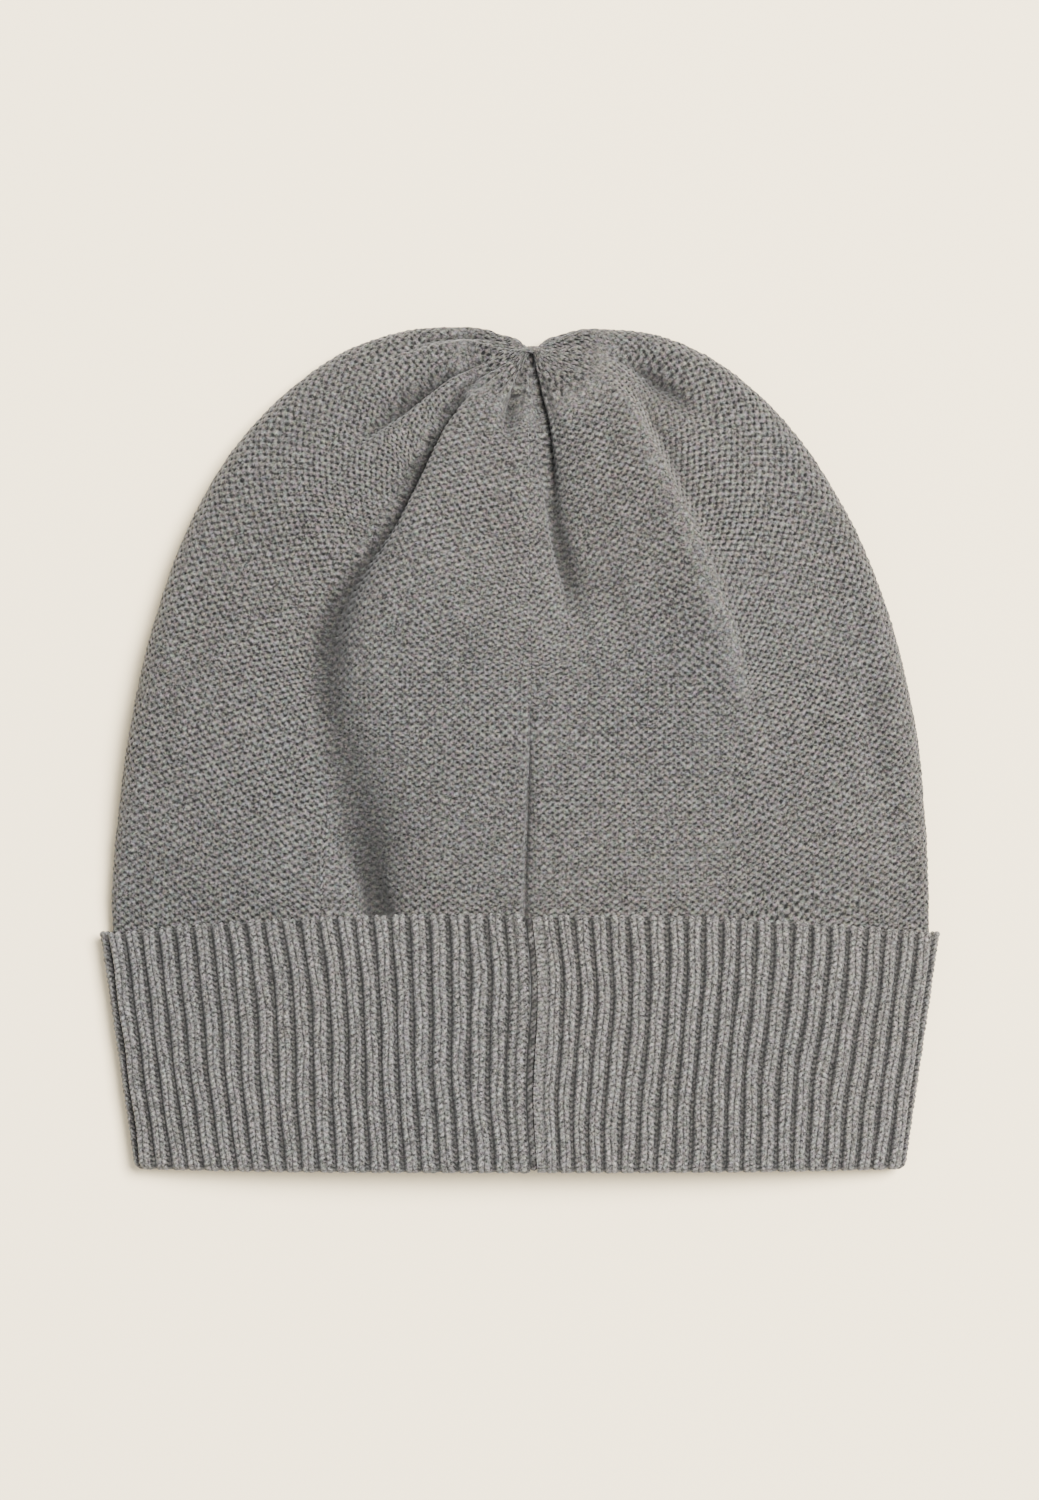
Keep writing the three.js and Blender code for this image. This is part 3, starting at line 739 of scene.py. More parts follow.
def stacked(*columns):
    """Columns of numbers side by side in a last axis; single numbers are repeated."""
    return np.stack(np.broadcast_arrays(*columns), -1)


def grid_quads(numbers):
    corners = numbers[:-1, :-1], numbers[:-1, 1:], numbers[1:, 1:], numbers[1:, :-1]
    return stacked(*corners).reshape(-1, 4)


def grid_edges(numbers):
    """The four edges of a grid of vertex numbers: bottom, right, top and left."""
    return numbers[0], numbers[:, -1], numbers[-1], numbers[:, 0]


def bake_place(across, up, inside):
    """Places in the UV map for baking: the outer face takes its left part and the inner face its right."""
    start, width = (0.81, 0.18) if inside else (0.01, 0.78)
    return stacked(start + width * across, 0.01 + 0.98 * up)


def close_sides(outer, inner, triangles):
    """Joins the four edges of an outer face to those of its inner face."""
    for number, (out_chain, in_chain) in enumerate(zip(outer, inner)):
        found = zip_chains(list(out_chain), list(in_chain))
        flip = number in (0, 1)
        triangles.extend([t[::-1] for t in found] if flip else found)


def build_mesh(name, points, quads, triangles, stitch, lift, bake_uv):
    """A smooth mesh in metres with its stitch place and lift as attributes, and a UV map for baking."""
    mesh = bpy.data.meshes.new(name)
    points[:, 2] = np.maximum(points[:, 2], 0.0)
    quads = np.asarray(quads, np.int32).reshape(-1, 4)
    triangles = np.asarray(triangles, np.int32).reshape(-1, 3)
    corners = np.concatenate([quads.ravel(), triangles.ravel()]).astype(np.int32)
    sizes = np.concatenate([np.full(len(quads), 4), np.full(len(triangles), 3)]).astype(np.int32)
    starts = np.concatenate([[0], np.cumsum(sizes)[:-1]]).astype(np.int32)
    mesh.vertices.add(len(points))
    mesh.vertices.foreach_set("co", (points * MM).astype(np.float32).ravel())
    mesh.loops.add(len(corners))
    mesh.loops.foreach_set("vertex_index", corners)
    mesh.polygons.add(len(sizes))
    mesh.polygons.foreach_set("loop_start", starts)
    mesh.update(calc_edges=True)
    mesh.validate()
    place = mesh.attributes.new("stitch", "FLOAT_VECTOR", "POINT")
    place.data.foreach_set("vector", stitch.astype(np.float32).ravel())
    height = mesh.attributes.new("lift", "FLOAT", "POINT")
    height.data.foreach_set("value", lift.astype(np.float32))
    uv = mesh.uv_layers.new(name="OFBake")
    loop_vertices = np.zeros(len(mesh.loops), np.int32)
    mesh.loops.foreach_get("vertex_index", loop_vertices)
    uv.data.foreach_set("uv", bake_uv[loop_vertices].astype(np.float32).ravel())
    mesh.polygons.foreach_set("use_smooth", np.ones(len(mesh.polygons), bool))
    mesh.update()
    return mesh


def place_object(name, data, place=(0, 0, 0)):
    made = bpy.data.objects.new(name, data)
    bpy.context.scene.collection.objects.link(made)
    made.location = place
    return made


def add_piece(name, mesh, material, slot, *nodes):
    piece = place_object(name, mesh)
    mesh.materials.append(material)
    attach(piece, "root")
    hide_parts(*nodes)


# The crown

def panel_rows(panel, rows, mesh_step):
    """Places of one panel's vertices, row by row, with the first lattice number of each row."""
    result = []
    for length in panel.length(rows):
        middle = length / 2
        first = math.ceil((0.4 * mesh_step - middle) / mesh_step)
        lattice = np.arange(first, math.floor((middle - 0.4 * mesh_step) / mesh_step) + 1)
        result.append((first, np.concatenate([[0], middle + lattice * mesh_step, [length]])))
    return result


def seam_pull(course):
    """How hard the back seam draws the fabric in: fully above the cuff, hardly further up."""
    return mix(SEAM_PULL_LEAST, 1.0, smoothstep(course, *SEAM_PULL_ROWS))


def creases(points, normals):
    """Depth of the firm creases at points of the crown; the under side has none."""
    depth = sum(fold_depth(crease, points[..., 0], points[..., 1]) for crease in CREASES.values())
    return depth * smoothstep(normals[..., 2], 0.1, 0.5)


def seam_dip(panels, owner, courses, places):
    """How far the fabric turns down into the back seam: gently on its right, firmly on its left."""
    dip = np.zeros(len(courses))
    for p, panel in enumerate(panels):
        if panel.kind != "centre":
            continue
        mine = owner == p
        if panel.side == "right":
            (edge, edge_width), (slope, slope_width) = SEAM_RIGHT_EDGE, SEAM_RIGHT_SLOPE
            dip[mine] = edge * np.exp(-places[mine] / edge_width) + slope * bell(places[mine], slope_width)
        else:
            (edge, edge_width), (ridge, ridge_width) = SEAM_LEFT_EDGE, SEAM_LEFT_RIDGE
            distance = panel.length(courses[mine]) - places[mine]
            dip[mine] = edge * bell(distance, edge_width)
            dip[mine] -= ridge * bell(distance - SEAM_LEFT_RIDGE_AT, ridge_width)
    return dip * seam_pull(courses)


def lay_crown(panels, mesh_step, rows):
    """Lays the vertices of a stretch of the crown row by row.

    Gives for each vertex its row of the form, its place, its panel and whether it lies on a dart's line,
    then the quads, the triangles, and the vertices along the bottom, the right, the top and the left.
    """
    laid = [panel_rows(panel, rows, mesh_step) for panel in panels]
    courses, places, owner, on_line = [], [], [], []
    quads, triangles, whole_rows = [], [], []
    count = 0
    previous = None
    for r, course in enumerate(rows):
        current = []
        shared = None
        for p, panel in enumerate(panels):
            first, row_places = laid[p][r]
            skip = 0 if shared is None else 1
            numbers = np.arange(count, count + len(row_places) - skip)
            count += len(numbers)
            line = np.zeros(len(row_places), bool)
            line[panel.dart_ends()] = True
            courses.append(np.full(len(numbers), course))
            places.append(row_places[skip:])
            owner.append(np.full(len(numbers), p))
            on_line.append(line[skip:])
            if skip:
                numbers = np.concatenate([[shared], numbers])
            shared = numbers[-1]
            current.append((first, numbers))
        if previous is not None:
            for low, high in zip(previous, current):
                join_rows(low, high, quads, triangles)
        whole_rows.append(np.concatenate([current[0][1]] + [numbers[1:] for _, numbers in current[1:]]))
        previous = current
    edges = whole_rows[0], [row[-1] for row in whole_rows], whole_rows[-1], [row[0] for row in whole_rows]
    vertices = [np.concatenate(values) for values in (courses, places, owner, on_line)]
    return vertices, quads, triangles, edges


def crown_places(panels, courses, places, owner):
    """The form's points and normals at the vertices, and their places in the knit's lattices."""
    points, normals = np.zeros((2, len(courses), 3))
    around, wale, row, ring_wale = np.zeros((4, len(courses)))
    rings_before = 0
    for p, panel in enumerate(panels):
        mine = owner == p
        course, place = courses[mine], places[mine]
        share = place / panel.length(course)
        points[mine] = panel.point(course, place, 0.0)
        normals[mine] = panel.facing(course, place, 0.0)
        around[mine] = (p + share) / len(panels)
        wale[mine], row[mine] = panel.lattice(course, place)
        if panel.kind == "centre":
            shift = panel.match()
            wale[mine] += shift[0]
            row[mine] += shift[1]
        rings = np.round(panel.length(np.array([GATHER_COURSE])) / GATHER_WALE)
        ring_wale[mine] = rings_before + share * rings
        rings_before += rings
    return points, normals, around, wale, row, ring_wale


def purl_face(panels, vertices, sizes):
    """The knitted outer face: its points, their lift, place in the stitches and share of the way round."""
    courses, places, owner, on_line = vertices
    points, normals, around, wale, row, ring_wale = crown_places(panels, courses, places, owner)
    from_tip = np.hypot(points[:, 0] - TIP["x"], points[:, 1] - TIP["y"])
    gather = smoothstep(from_tip, *GATHER_REACH)
    wale = wale + wander(points, WALE_WANDER)
    row = row + wander(points, ROW_WANDER)
    ring_wale = ring_wale + wander(points, RING_WANDER)
    ring_row = from_tip / GATHER_ROW + 0.45 * chance(np.round(ring_wale), 5)
    lift = mix(purl_side(wale, row), gathered_columns(ring_wale, ring_row), gather)
    height = sizes.purl_depth * METRE * (lift - 1) + wander(points, HEIGHT_WANDER)

    crease, dip = creases(points, normals), seam_dip(panels, owner, courses, places)
    under_cuff = UNDER_CUFF_DEPTH * smoothstep(courses, *UNDER_CUFF_ROWS)
    height = height * (1 - 0.5 * smoothstep(from_tip, *TIP_FADE)) - crease - dip - under_cuff
    # Painted shade in deep creases and down the seam's slope, and a painted highlight on ridges, which also
    # get less of the holes' painted shade
    ridge_painted_highlight = smoothstep(-crease, *RIDGE_LIGHT)
    lift = lift * (1 - 0.72 * smoothstep(crease, *CREASE_SHADE)) * (1 - 0.6 * smoothstep(dip, *DIP_SHADE))
    lift = mix(lift, 1.0, 0.45 * ridge_painted_highlight)

    in_side_gore = np.array([panel.kind in ("side", "under") for panel in panels])[owner]
    open_knit = np.where(in_side_gore, 0.92, 0.76) + wander(points, OPEN_WANDER)
    open_knit = open_knit * (1 - 0.8 * ridge_painted_highlight) * (1 - 0.25 * smoothstep(crease, 1, 3))
    open_knit = open_knit * smoothstep(from_tip, *TIP_HOLES) * ~on_line
    drawn_in = gather > 0.5
    # The third value of each stitch place weighs the painted shade of the holes: more in the side gores and
    # where the wales are drawn in, less on ridges, in creases and near the tip
    stitch = stacked(
        np.where(drawn_in, ring_wale + 0.5, wale),
        np.where(drawn_in, ring_row, row),
        open_knit * np.abs(1 - 2 * gather) * (1 + 0.5 * drawn_in),
    )
    return points + normals * height[:, None], lift, stitch, around


def plain_inside(panels):
    """The plain inside face as a coarse grid: its points, their rows of the form and places by panel."""
    rows = np.linspace(0, COURSES, int(COURSES / INSIDE_ROW) + 1)
    parts = [np.arange(panel.columns) / panel.columns + p for p, panel in enumerate(panels)]
    grid_course, grid_part = grid(rows, np.concatenate(parts + [[len(panels)]]))
    owner = np.minimum(grid_part.astype(int), len(panels) - 1)
    inner = np.zeros(grid_course.shape + (3,))
    for p, panel in enumerate(panels):
        mine = owner == p
        course = grid_course[mine]
        place = (grid_part[mine] - p) * panel.length(course)
        outside = panel.point(course, place, 0.0)
        normals = panel.facing(course, place, 0.0)
        wall = INSIDE_DEPTH - 0.6 * smoothstep(course, 9, 3) + creases(outside, normals)
        inner[mine] = outside - normals * wall[:, None]
    return inner, grid_course, grid_part


def knit_crown_piece(name, panels, mesh_step, course_steps, sizes):
    """One stretch of the crown: its purl side stitch by stitch, the inside of the wall and its four edges."""
    rows = np.arange(0, COURSES * course_steps + 1) / course_steps
    vertices, quads, triangles, edges = lay_crown(panels, mesh_step, rows)
    outer, lift, stitch, around = purl_face(panels, vertices, sizes)
    inner, in_course, in_part = plain_inside(panels)
    inner_numbers = len(outer) + np.arange(in_course.size).reshape(in_course.shape)
    close_sides(edges, grid_edges(inner_numbers), triangles)
    in_course, in_part = in_course.ravel(), in_part.ravel()
    in_stitch = stacked(in_part * 20, in_course, 0.0)
    bake = bake_place(around, vertices[0] / COURSES, inside=False)
    in_bake = bake_place(in_part / len(panels), in_course / COURSES, inside=True)
    return build_mesh(
        name,
        np.concatenate([outer, inner.reshape(-1, 3)]),
        np.concatenate(quads + [grid_quads(inner_numbers)[:, ::-1]]),
        triangles,
        np.concatenate([stitch, in_stitch]),
        # The inside face takes a middle lift, so the yarn material gives it a middle painted shade
        np.concatenate([lift, np.full(in_part.size, 0.5)]),
        np.concatenate([bake, in_bake]),
    )


def knit_crown(sizes, material):
    for name, panels, mesh_step, course_steps in (
        ("crown_back_right", CROWN_BACK_RIGHT, MESH_STEP, COURSE_STEPS),
        ("crown_back_left", CROWN_BACK_LEFT, MESH_STEP, COURSE_STEPS),
        ("crown_front", CROWN_FRONT, FRONT_MESH_STEP, FRONT_COURSE_STEPS),
    ):
        mesh = knit_crown_piece(name, panels, mesh_step, course_steps, sizes)
        add_piece(name, mesh, material, "crown_knit", "crown")


def grid_piece(name, outer, inner, stitch, lift):
    """A closed piece from an outer grid of points and a coarser inner one, rows of columns."""
    triangles, bake, grids = [], [], []
    first = 0
    for face in (outer, inner):
        rows, columns = face.shape[:2]
        grids.append(first + np.arange(rows * columns).reshape(rows, columns))
        up, across = grid(np.linspace(0, 1, rows), np.linspace(0, 1, columns))
        bake.append(bake_place(across.ravel(), up.ravel(), inside=first > 0))
        first += rows * columns
    close_sides(grid_edges(grids[0]), grid_edges(grids[1]), triangles)
    quads = np.concatenate([grid_quads(grids[0]), grid_quads(grids[1])[:, ::-1]])
    in_stitch = 60 * stacked(across.ravel(), up.ravel(), 0.0)
    return build_mesh(
        name,
        np.concatenate([outer.reshape(-1, 3), inner.reshape(-1, 3)]),
        quads,
        triangles,
        np.concatenate([stitch.reshape(-1, 3), in_stitch]),
        # The inside face takes a middle lift, so the yarn material gives it a middle painted shade
        np.concatenate([lift.ravel(), np.full(up.size, 0.5)]),
        np.concatenate(bake),
    )


def crown_seam_points(course, place, depth):
    """Points on the crown beside its back seam, a place right of it in millimetres and a depth inside."""
    right, left = CROWN_BACK_RIGHT[0], CROWN_BACK_LEFT[-1]
    on_right = right.point(course, np.maximum(place, 0), depth)
    on_left = left.point(course, left.length(course) + np.minimum(place, 0), depth)
    return np.where((place >= 0)[..., None], on_right, on_left)


def link_crown_seam(sizes, material):
    """The crown's back seam: a narrow line of linked loops, sunk where the seam draws the fabric in."""
    rows = np.arange(0, COURSES * SEAM_STEPS + 1) / SEAM_STEPS
    course, across = grid(rows, np.linspace(-1, 1, 8))
    half = CROWN_SEAM_HALF * (1 - 0.4 * smoothstep(course, 80, 97))
    points = crown_seam_points(course, across * half, 0.0)
    normals = CROWN_BACK_RIGHT[0].facing(course, np.full(course.shape, 0.5), 0.0)
    count = course * CROWN_LINKS
    number = np.floor(count)
    slant = 0.5 * (chance(number, 3) - 0.5)
    link = arc(in_row(count) - slant * across, 0.44) * arc(across - 0.35 * (chance(number, 8) - 0.5), 0.75)
    # The lift, low between the links, also sets painted shade in the seam yarn's colour
    lift = 0.05 + 0.45 * link * (0.4 + 0.6 * chance(number, 11))
    depth = 1.3 + 0.9 * seam_pull(course) + sizes.seam_depth * METRE * (1.25 - 0.75 * lift)
    outer = points - normals * depth[..., None]
    in_course, in_across = grid(np.linspace(0, COURSES, 50), [-1.0, 1.0])
    inner = crown_seam_points(in_course, in_across * CROWN_SEAM_HALF, CROWN_WALL + 1.4)
    stitch = stacked(across * 0.4, count, 0.0)
    mesh = grid_piece("crown_seam_links", outer, inner, stitch, lift)
    add_piece("crown_seam_links", mesh, material, "linking_yarn", "crown_seam")


def wind_nub(sizes, material):
    """The drawn-in top: a small ball of gathering thread over the ring of last stitches."""
    turns = np.linspace(0, 2 * math.pi, NUB_COLUMNS, endpoint=False)
    turn, rise = grid(turns, np.linspace(0, 1, NUB_ROWS))
    tilt = rise * math.pi * 0.5
    wind = np.sin(3 * turn + 9 * rise + 1.3 * np.sin(2 * turn)) * np.sin(math.pi * np.clip(rise, 0.08, 1))
    swell = 1 + 0.13 * wind + 0.08 * np.sin(2 * turn + 0.7)
    ball = tip_ring(turn, NUB_RADIUS * swell * np.cos(tilt), NUB_HEIGHT * swell * np.sin(tilt) - NUB_HEIGHT)
    ball = ball.reshape(-1, 3)
    stem = [tip_ring(turns, NUB_STEM_RADIUS, end) for end in NUB_STEM_ENDS]
    points = np.concatenate([ball] + stem)
    numbers = np.arange(len(ball)).reshape(NUB_COLUMNS, NUB_ROWS)
    quads = [grid_quads(np.concatenate([numbers, numbers[:1]]))]
    rings = [numbers[:, 0], *(len(ball) + np.arange(2 * NUB_COLUMNS).reshape(2, NUB_COLUMNS))]
    for upper, lower in zip(rings[:-1], rings[1:]):
        quads.append(stacked(upper, np.roll(upper, -1), np.roll(lower, -1), lower))
    top, last = numbers[:, -1], rings[-1]
    fan = range(1, NUB_COLUMNS - 1)
    caps = [(last[0], last[i + 1], last[i]) for i in fan] + [(top[0], top[i], top[i + 1]) for i in fan]

    # The lift sets painted shade: darker in the grooves of the winding, and on the stem
    lift = np.concatenate([0.6 + 0.4 * wind.ravel(), np.full(2 * NUB_COLUMNS, 0.3)])
    stitch = stacked(points[:, 0], points[:, 2], 0.0)
    bake = np.zeros((len(points), 2))
    bake[:len(ball)] = stacked(0.02 + 0.7 * turn.ravel() / (2 * math.pi), 0.02 + 0.9 * rise.ravel())
    bake[len(ball):, 0] = 0.8 + 0.15 * np.tile(np.arange(NUB_COLUMNS) / NUB_COLUMNS, 2)
    bake[len(ball):, 1] = np.repeat([0.1, 0.8], NUB_COLUMNS)
    mesh = build_mesh("top_nub", points, np.concatenate(quads), caps, stitch, lift, bake)
    add_piece("top_nub", mesh, material, "linking_yarn", "top_gather")


# The rib band

def cuff_flat(y):
    share = (y - MOUTH_Y) / (CUFF_TOP_Y - CUFF_TOP_ARCH - MOUTH_Y)
    return mix(MOUTH_HALF_WIDTH, CUFF_TOP_HALF_WIDTH, share) - EDGE_RADIUS


CUFF_AXIS_REACH = EDGE_RADIUS - RIB_ENVELOPE / 2
CUFF_TURN = math.pi * CUFF_AXIS_REACH


def cuff_length(part, y):
    if part == "front":
        return 2 * cuff_flat(y)
    inner = SEAM_X - SEAM_HALF if part == "left" else SEAM_X + SEAM_HALF
    return cuff_flat(y) + (inner if part == "left" else -inner) + CUFF_TURN


def cuff_point(part, share, y, reach):
    """Points of the band, by share of a part's length round the cuff, y and reach from the edge's axis."""
    flat = cuff_flat(y)
    if part == "front":
        return stacked(flat * (1 - 2 * share), y, EDGE_RADIUS - reach)
    run = share * cuff_length(part, y)
    if part == "right":
        run = cuff_length(part, y) - run  # counted from the line under the side fold
    turn = np.clip(run / CUFF_TURN, 0, 1) * math.pi - math.pi / 2
    straight = np.maximum(run - CUFF_TURN, 0)
    sign = -1 if part == "left" else 1
    x = sign * (flat + reach * np.cos(turn) - straight)
    on_top = EDGE_RADIUS + reach + CUFF_BULGE * (1 - np.abs(np.clip(x / flat, -1, 1)) ** BULGE_POWER)
    z = np.where(straight > 0, on_top, EDGE_RADIUS + reach * np.sin(turn))
    return stacked(x, y, z)


def band_path(part, share, course):
    """Middle of the band's fabric by rows from the turn-up's top edge, and the way its right side faces."""
    flat = cuff_flat(CUFF_TOP_Y)
    x = cuff_point(part, share, np.full(share.shape, CUFF_TOP_Y), np.full(share.shape, EDGE_RADIUS))[..., 0]
    top = CUFF_TOP_Y - CUFF_TOP_ARCH * np.clip(np.abs(x / flat), 0, 1) ** CUFF_TOP_ARCH_POWER
    step = SEAM_STEP * smoothstep(x, SEAM_X - 1, SEAM_X + 1) * smoothstep(x, *SEAM_STEP_FADE)
    top = top - RIB_ENVELOPE / 2 - step
    fold_y = MOUTH_Y + FOLD_RADIUS + RIB_ENVELOPE / 2
    fold_reach = CUFF_AXIS_REACH - FOLD_RADIUS
    turned = np.clip((course - CUFF_COURSES) / FOLD_COURSES, 0, 1) * math.pi
    down = mix(top, fold_y, np.clip(course / CUFF_COURSES, 0, 1))
    risen = np.clip((course - CUFF_COURSES - FOLD_COURSES) / INNER_COURSES, 0, 1)
    y = down - FOLD_RADIUS * np.sin(turned) + risen * (JUNCTION_Y - LAYER_GAP - fold_y)
    return y, fold_reach + FOLD_RADIUS * np.cos(turned), np.cos(turned), np.sin(turned)


def band_point(part, share, course, shift, over=0.0):
    """Points on the band; shift is towards its right side, and over turns round the rim of the turn-up."""
    y, reach, out, down = band_path(part, share, course)
    y = y - shift * down + shift * np.sin(over)
    return cuff_point(part, share, y, reach + shift * out * np.cos(over))


def sway(points):
    """The ribs of the turned-up cuff run a little out of the straight on the upper side."""
    x, y = points[..., 0], points[..., 1]
    upper = smoothstep(points[..., 2], EDGE_RADIUS, EDGE_RADIUS + UPPER_SIDE_RISE)
    free = np.clip(1 - (x / RIB_SWAY_END) ** 4, 0, 1) * upper
    points[..., 0] = x + RIB_SWAY * free * drift(x, 1.3 * y, RIB_SWAY_SIZE, RIB_SWAY_SEED)
    return points


def rib_layout(part):
    """Columns of mesh of one part: share of its length, wale number, place in the wale and kind of wale."""
    total = float(cuff_length(part, REFERENCE_Y))
    special = {
        "left": [("wide", SEAM_COLUMN_LEFT)],
        "right": [("strip", SEAM_STRIP_RIGHT), ("first", SEAM_RIB_RIGHT)],
        "front": [],
    }[part]
    plain = RIBS[part]
    width = (total - sum(size for _, size in special)) / plain
    uneven = 1 + RIB_UNEVEN * (chance(np.arange(plain), len(part)) - 0.5)
    wales = [("rib", width * each) for each in uneven * plain / uneven.sum()]
    wales = wales + special if part == "left" else special + wales
    steps = FRONT_RIB_STEPS if part == "front" else RIB_STEPS
    columns = []
    start = 0.0
    for number, (kind, size) in enumerate(wales):
        columns.extend((start + step * size, number, step, kind) for step in steps)
        start += size
    columns.append((start, len(wales) - 1, 1.0, wales[-1][0]))
    places, numbers, parts, kinds = (np.array(values) for values in zip(*columns))
    return places / total, numbers, parts, kinds


def weighed(weights, body, leg, bead):
    """The furrow's value with what body, leg and bead add to it."""
    furrow, of_body, of_leg, of_bead = weights
    return furrow + of_body * body + of_leg * leg + of_bead * bead


def rib_wale(number, part, kind, course, knitted, seed):
    """A rib: a knit wale of two legs of slanted loops, with small purl beads in the furrows beside it."""
    reach, turn = RIB_BEND
    start = 2 * math.pi * chance(number, seed)
    bent = part + reach * np.sin(course * turn + start) * np.sin(math.pi * part)
    middle = bent - 0.5
    phase = knitted - LEG_SLANT * np.abs(middle)
    leg = arc(np.abs(middle) - LEG_PLACE, LEG_HALF) * (1 - 0.5 * np.abs(np.cos(math.pi * phase)) ** 3)
    leg = leg * (0.7 + 0.3 * chance(number * 2 + (middle > 0), np.floor(phase), seed))
    body = np.clip(1 - (np.abs(middle) / RIB_HALF) ** 5, 0, 1)
    off = bent + BEAD_SHIFT
    bead = arc(np.minimum(np.abs(off), np.abs(off - 1)), BEAD_HALF) * arc(in_row(knitted), BEAD_HALF_ROW)
    bead = bead * (1 - body)
    height = weighed(RIB_HEIGHTS, body, leg, bead)
    lift = np.clip(weighed(RIB_LIFTS, body, leg, bead), 0, 1)
    beside_strip = (kind == "first") * smoothstep(part, *STRIP_SIDE)
    return np.maximum(height, -2.4 + 1.5 * beside_strip), np.maximum(lift, 0.4 * beside_strip), bent


def wide_wale(part, knitted, seed):
    """The wale left of the seam, pulled wide: bold slanting strokes beside one slim leg."""
    chunk = (part - 0.7) / 0.3
    stroke = knitted * 0.92 + 0.75 * chunk
    number, stroke_row = np.floor(stroke), in_row(stroke)
    tooth = 0.16 * (chance(number, seed, 12) - 0.6) + 0.1 * np.abs(stroke_row)
    bold = arc(np.where(chunk > 0, chunk + np.clip(tooth + 0.14, 0, 1), chunk), 0.98)
    bold = bold * (0.35 + 0.65 * arc(stroke_row, 0.46)) * (0.75 + 0.25 * chance(number, seed, 9))
    slim = arc((part - 0.22) / 0.17, 1.0) * (1 - 0.5 * np.abs(np.cos(math.pi * (knitted + part))) ** 4)
    lift = np.clip(0.05 + 0.95 * np.maximum(bold, 0.8 * slim), 0, 1)
    return -1.4 + 1.6 * bold + 1.0 * slim, lift


def fuzzy_strip(part, knitted, seed):
    """The flat strip right of the seam: only low fuzz."""
    row = 1.3 * knitted + 0.4 * part
    fuzz = arc(in_row(row), 0.46) * (0.5 + 0.5 * chance(np.floor(row), np.round(3 * part), seed))
    return -0.95 + 0.4 * fuzz, 0.35 + 0.5 * fuzz


def rib_relief(number, part, kind, course, seed):
    """Height of the band's right side in millimetres, lift that sets painted shade, place in the wale, row
    and holes' weight.
    """
    uneven = 0.25 * (chance(np.floor(number), seed, 4) - 0.5)
    knitted = course + (uneven + 0.12 * drift(number * 4.6, course * 1.5, 11.0, seed))
    rib, rib_lift, bent = rib_wale(number, part, kind, course, knitted, seed)
    wide, wide_lift = wide_wale(part, knitted, seed)
    strip, strip_lift = fuzzy_strip(part, knitted, seed)
    height = np.where(kind == "wide", wide, np.where(kind == "strip", strip, rib))
    lift = np.where(kind == "wide", wide_lift, np.where(kind == "strip", strip_lift, rib_lift))
    return height, lift, bent, knitted, np.where(kind == "strip", 0.2, 1.0)


def right_side_rows(part):
    """Rows of mesh on the band's right side, from the inner layer's end, and their turn round the rim."""
    fine = FRONT_COURSE_STEPS if part == "front" else COURSE_STEPS
    turned = np.arange(0, CUFF_COURSES * fine) / fine
    folded = CUFF_COURSES + np.arange(0, FOLD_COURSES * COURSE_STEPS) / COURSE_STEPS
    inside = CUFF_COURSES + FOLD_COURSES + np.arange(0, INNER_COURSES + 1)
    rows = np.concatenate([turned, folded, inside])[::-1]
    rim = np.radians(RIM_DEGREES)
    return np.concatenate([rows, np.zeros(len(rim))]), np.concatenate([np.zeros(len(rows)), rim])


def wrong_side_rows(last_row):
    """Rows of mesh on the band's wrong side: up the inner layer, round the fold and up the turn-up."""
    inner_layer = np.linspace(LAST_COURSE, CUFF_COURSES + FOLD_COURSES, 12)
    turn_up = np.linspace(CUFF_COURSES, last_row, 14)
    return np.concatenate([inner_layer, WRONG_SIDE_FOLD_ROWS, turn_up])


def knit_band_piece(name, part, sizes):
    """One part of the band: its right side rib by rib, its plain wrong side and its four edges."""
    share, number, in_wale, kind = rib_layout(part)
    course, over = right_side_rows(part)
    grid_course, grid_share = grid(course, share)
    grid_over = np.broadcast_to(over[:, None], grid_course.shape)
    seed = RIB_SEEDS[part]
    height, lift, in_rib, knitted, holes = rib_relief(
        number[None, :], in_wale[None, :], kind[None, :], grid_course, seed
    )
    round_fold = bell(grid_course - CUFF_COURSES - FOLD_COURSES / 2, FOLD_EASE_ROWS)
    shift = RIB_ENVELOPE / 2 + height * (1 - FOLD_EASE * round_fold) * sizes.rib_depth / FULL_RIB_DEPTH
    shift = mix(shift, np.maximum(shift, RIM_LEAST), smoothstep(grid_course, *RIM_ROWS))
    outer = band_point(part, grid_share, grid_course, shift, grid_over)
    wave = wander(outer, CUFF_WANDER) * (grid_course < CUFF_COURSES)
    outer[..., 2] += wave * smoothstep(np.abs(outer[..., 0]), *CUFF_WANDER_FADE)
    wale = number[None, :] + in_rib + 60.0 * seed
    stitch = stacked(wale, knitted + grid_over, holes)

    steps = FRONT_RIB_STEPS if part == "front" else RIB_STEPS
    wrong_share = share[:: len(steps) // 2]
    if wrong_share[-1] != share[-1]:
        wrong_share = np.append(wrong_share, share[-1])
    in_course, in_share = grid(wrong_side_rows(0.4), wrong_share)
    inner = band_point(part, in_share, in_course, np.full(in_course.shape, WRONG_SIDE))
    return grid_piece(name, sway(outer), sway(inner), stitch, lift)


def knit_band(sizes, material):
    for part, name in (("left", "cuff_back_left"), ("right", "cuff_back_right"), ("front", "cuff_front")):
        add_piece(name, knit_band_piece(name, part, sizes), material, "rib_knit", "rib_band")


def cuff_seam_points(x, course, shift):
    """Points of the band's seam on the upper side, by rows of the band; shift is towards its right side."""
    y, reach, out, down = band_path("right", np.zeros(x.shape), course)
    bulge = CUFF_BULGE * (1 - np.abs(x / cuff_flat(y)) ** BULGE_POWER)
    return stacked(x, y - shift * down, EDGE_RADIUS + reach + shift * out + bulge)


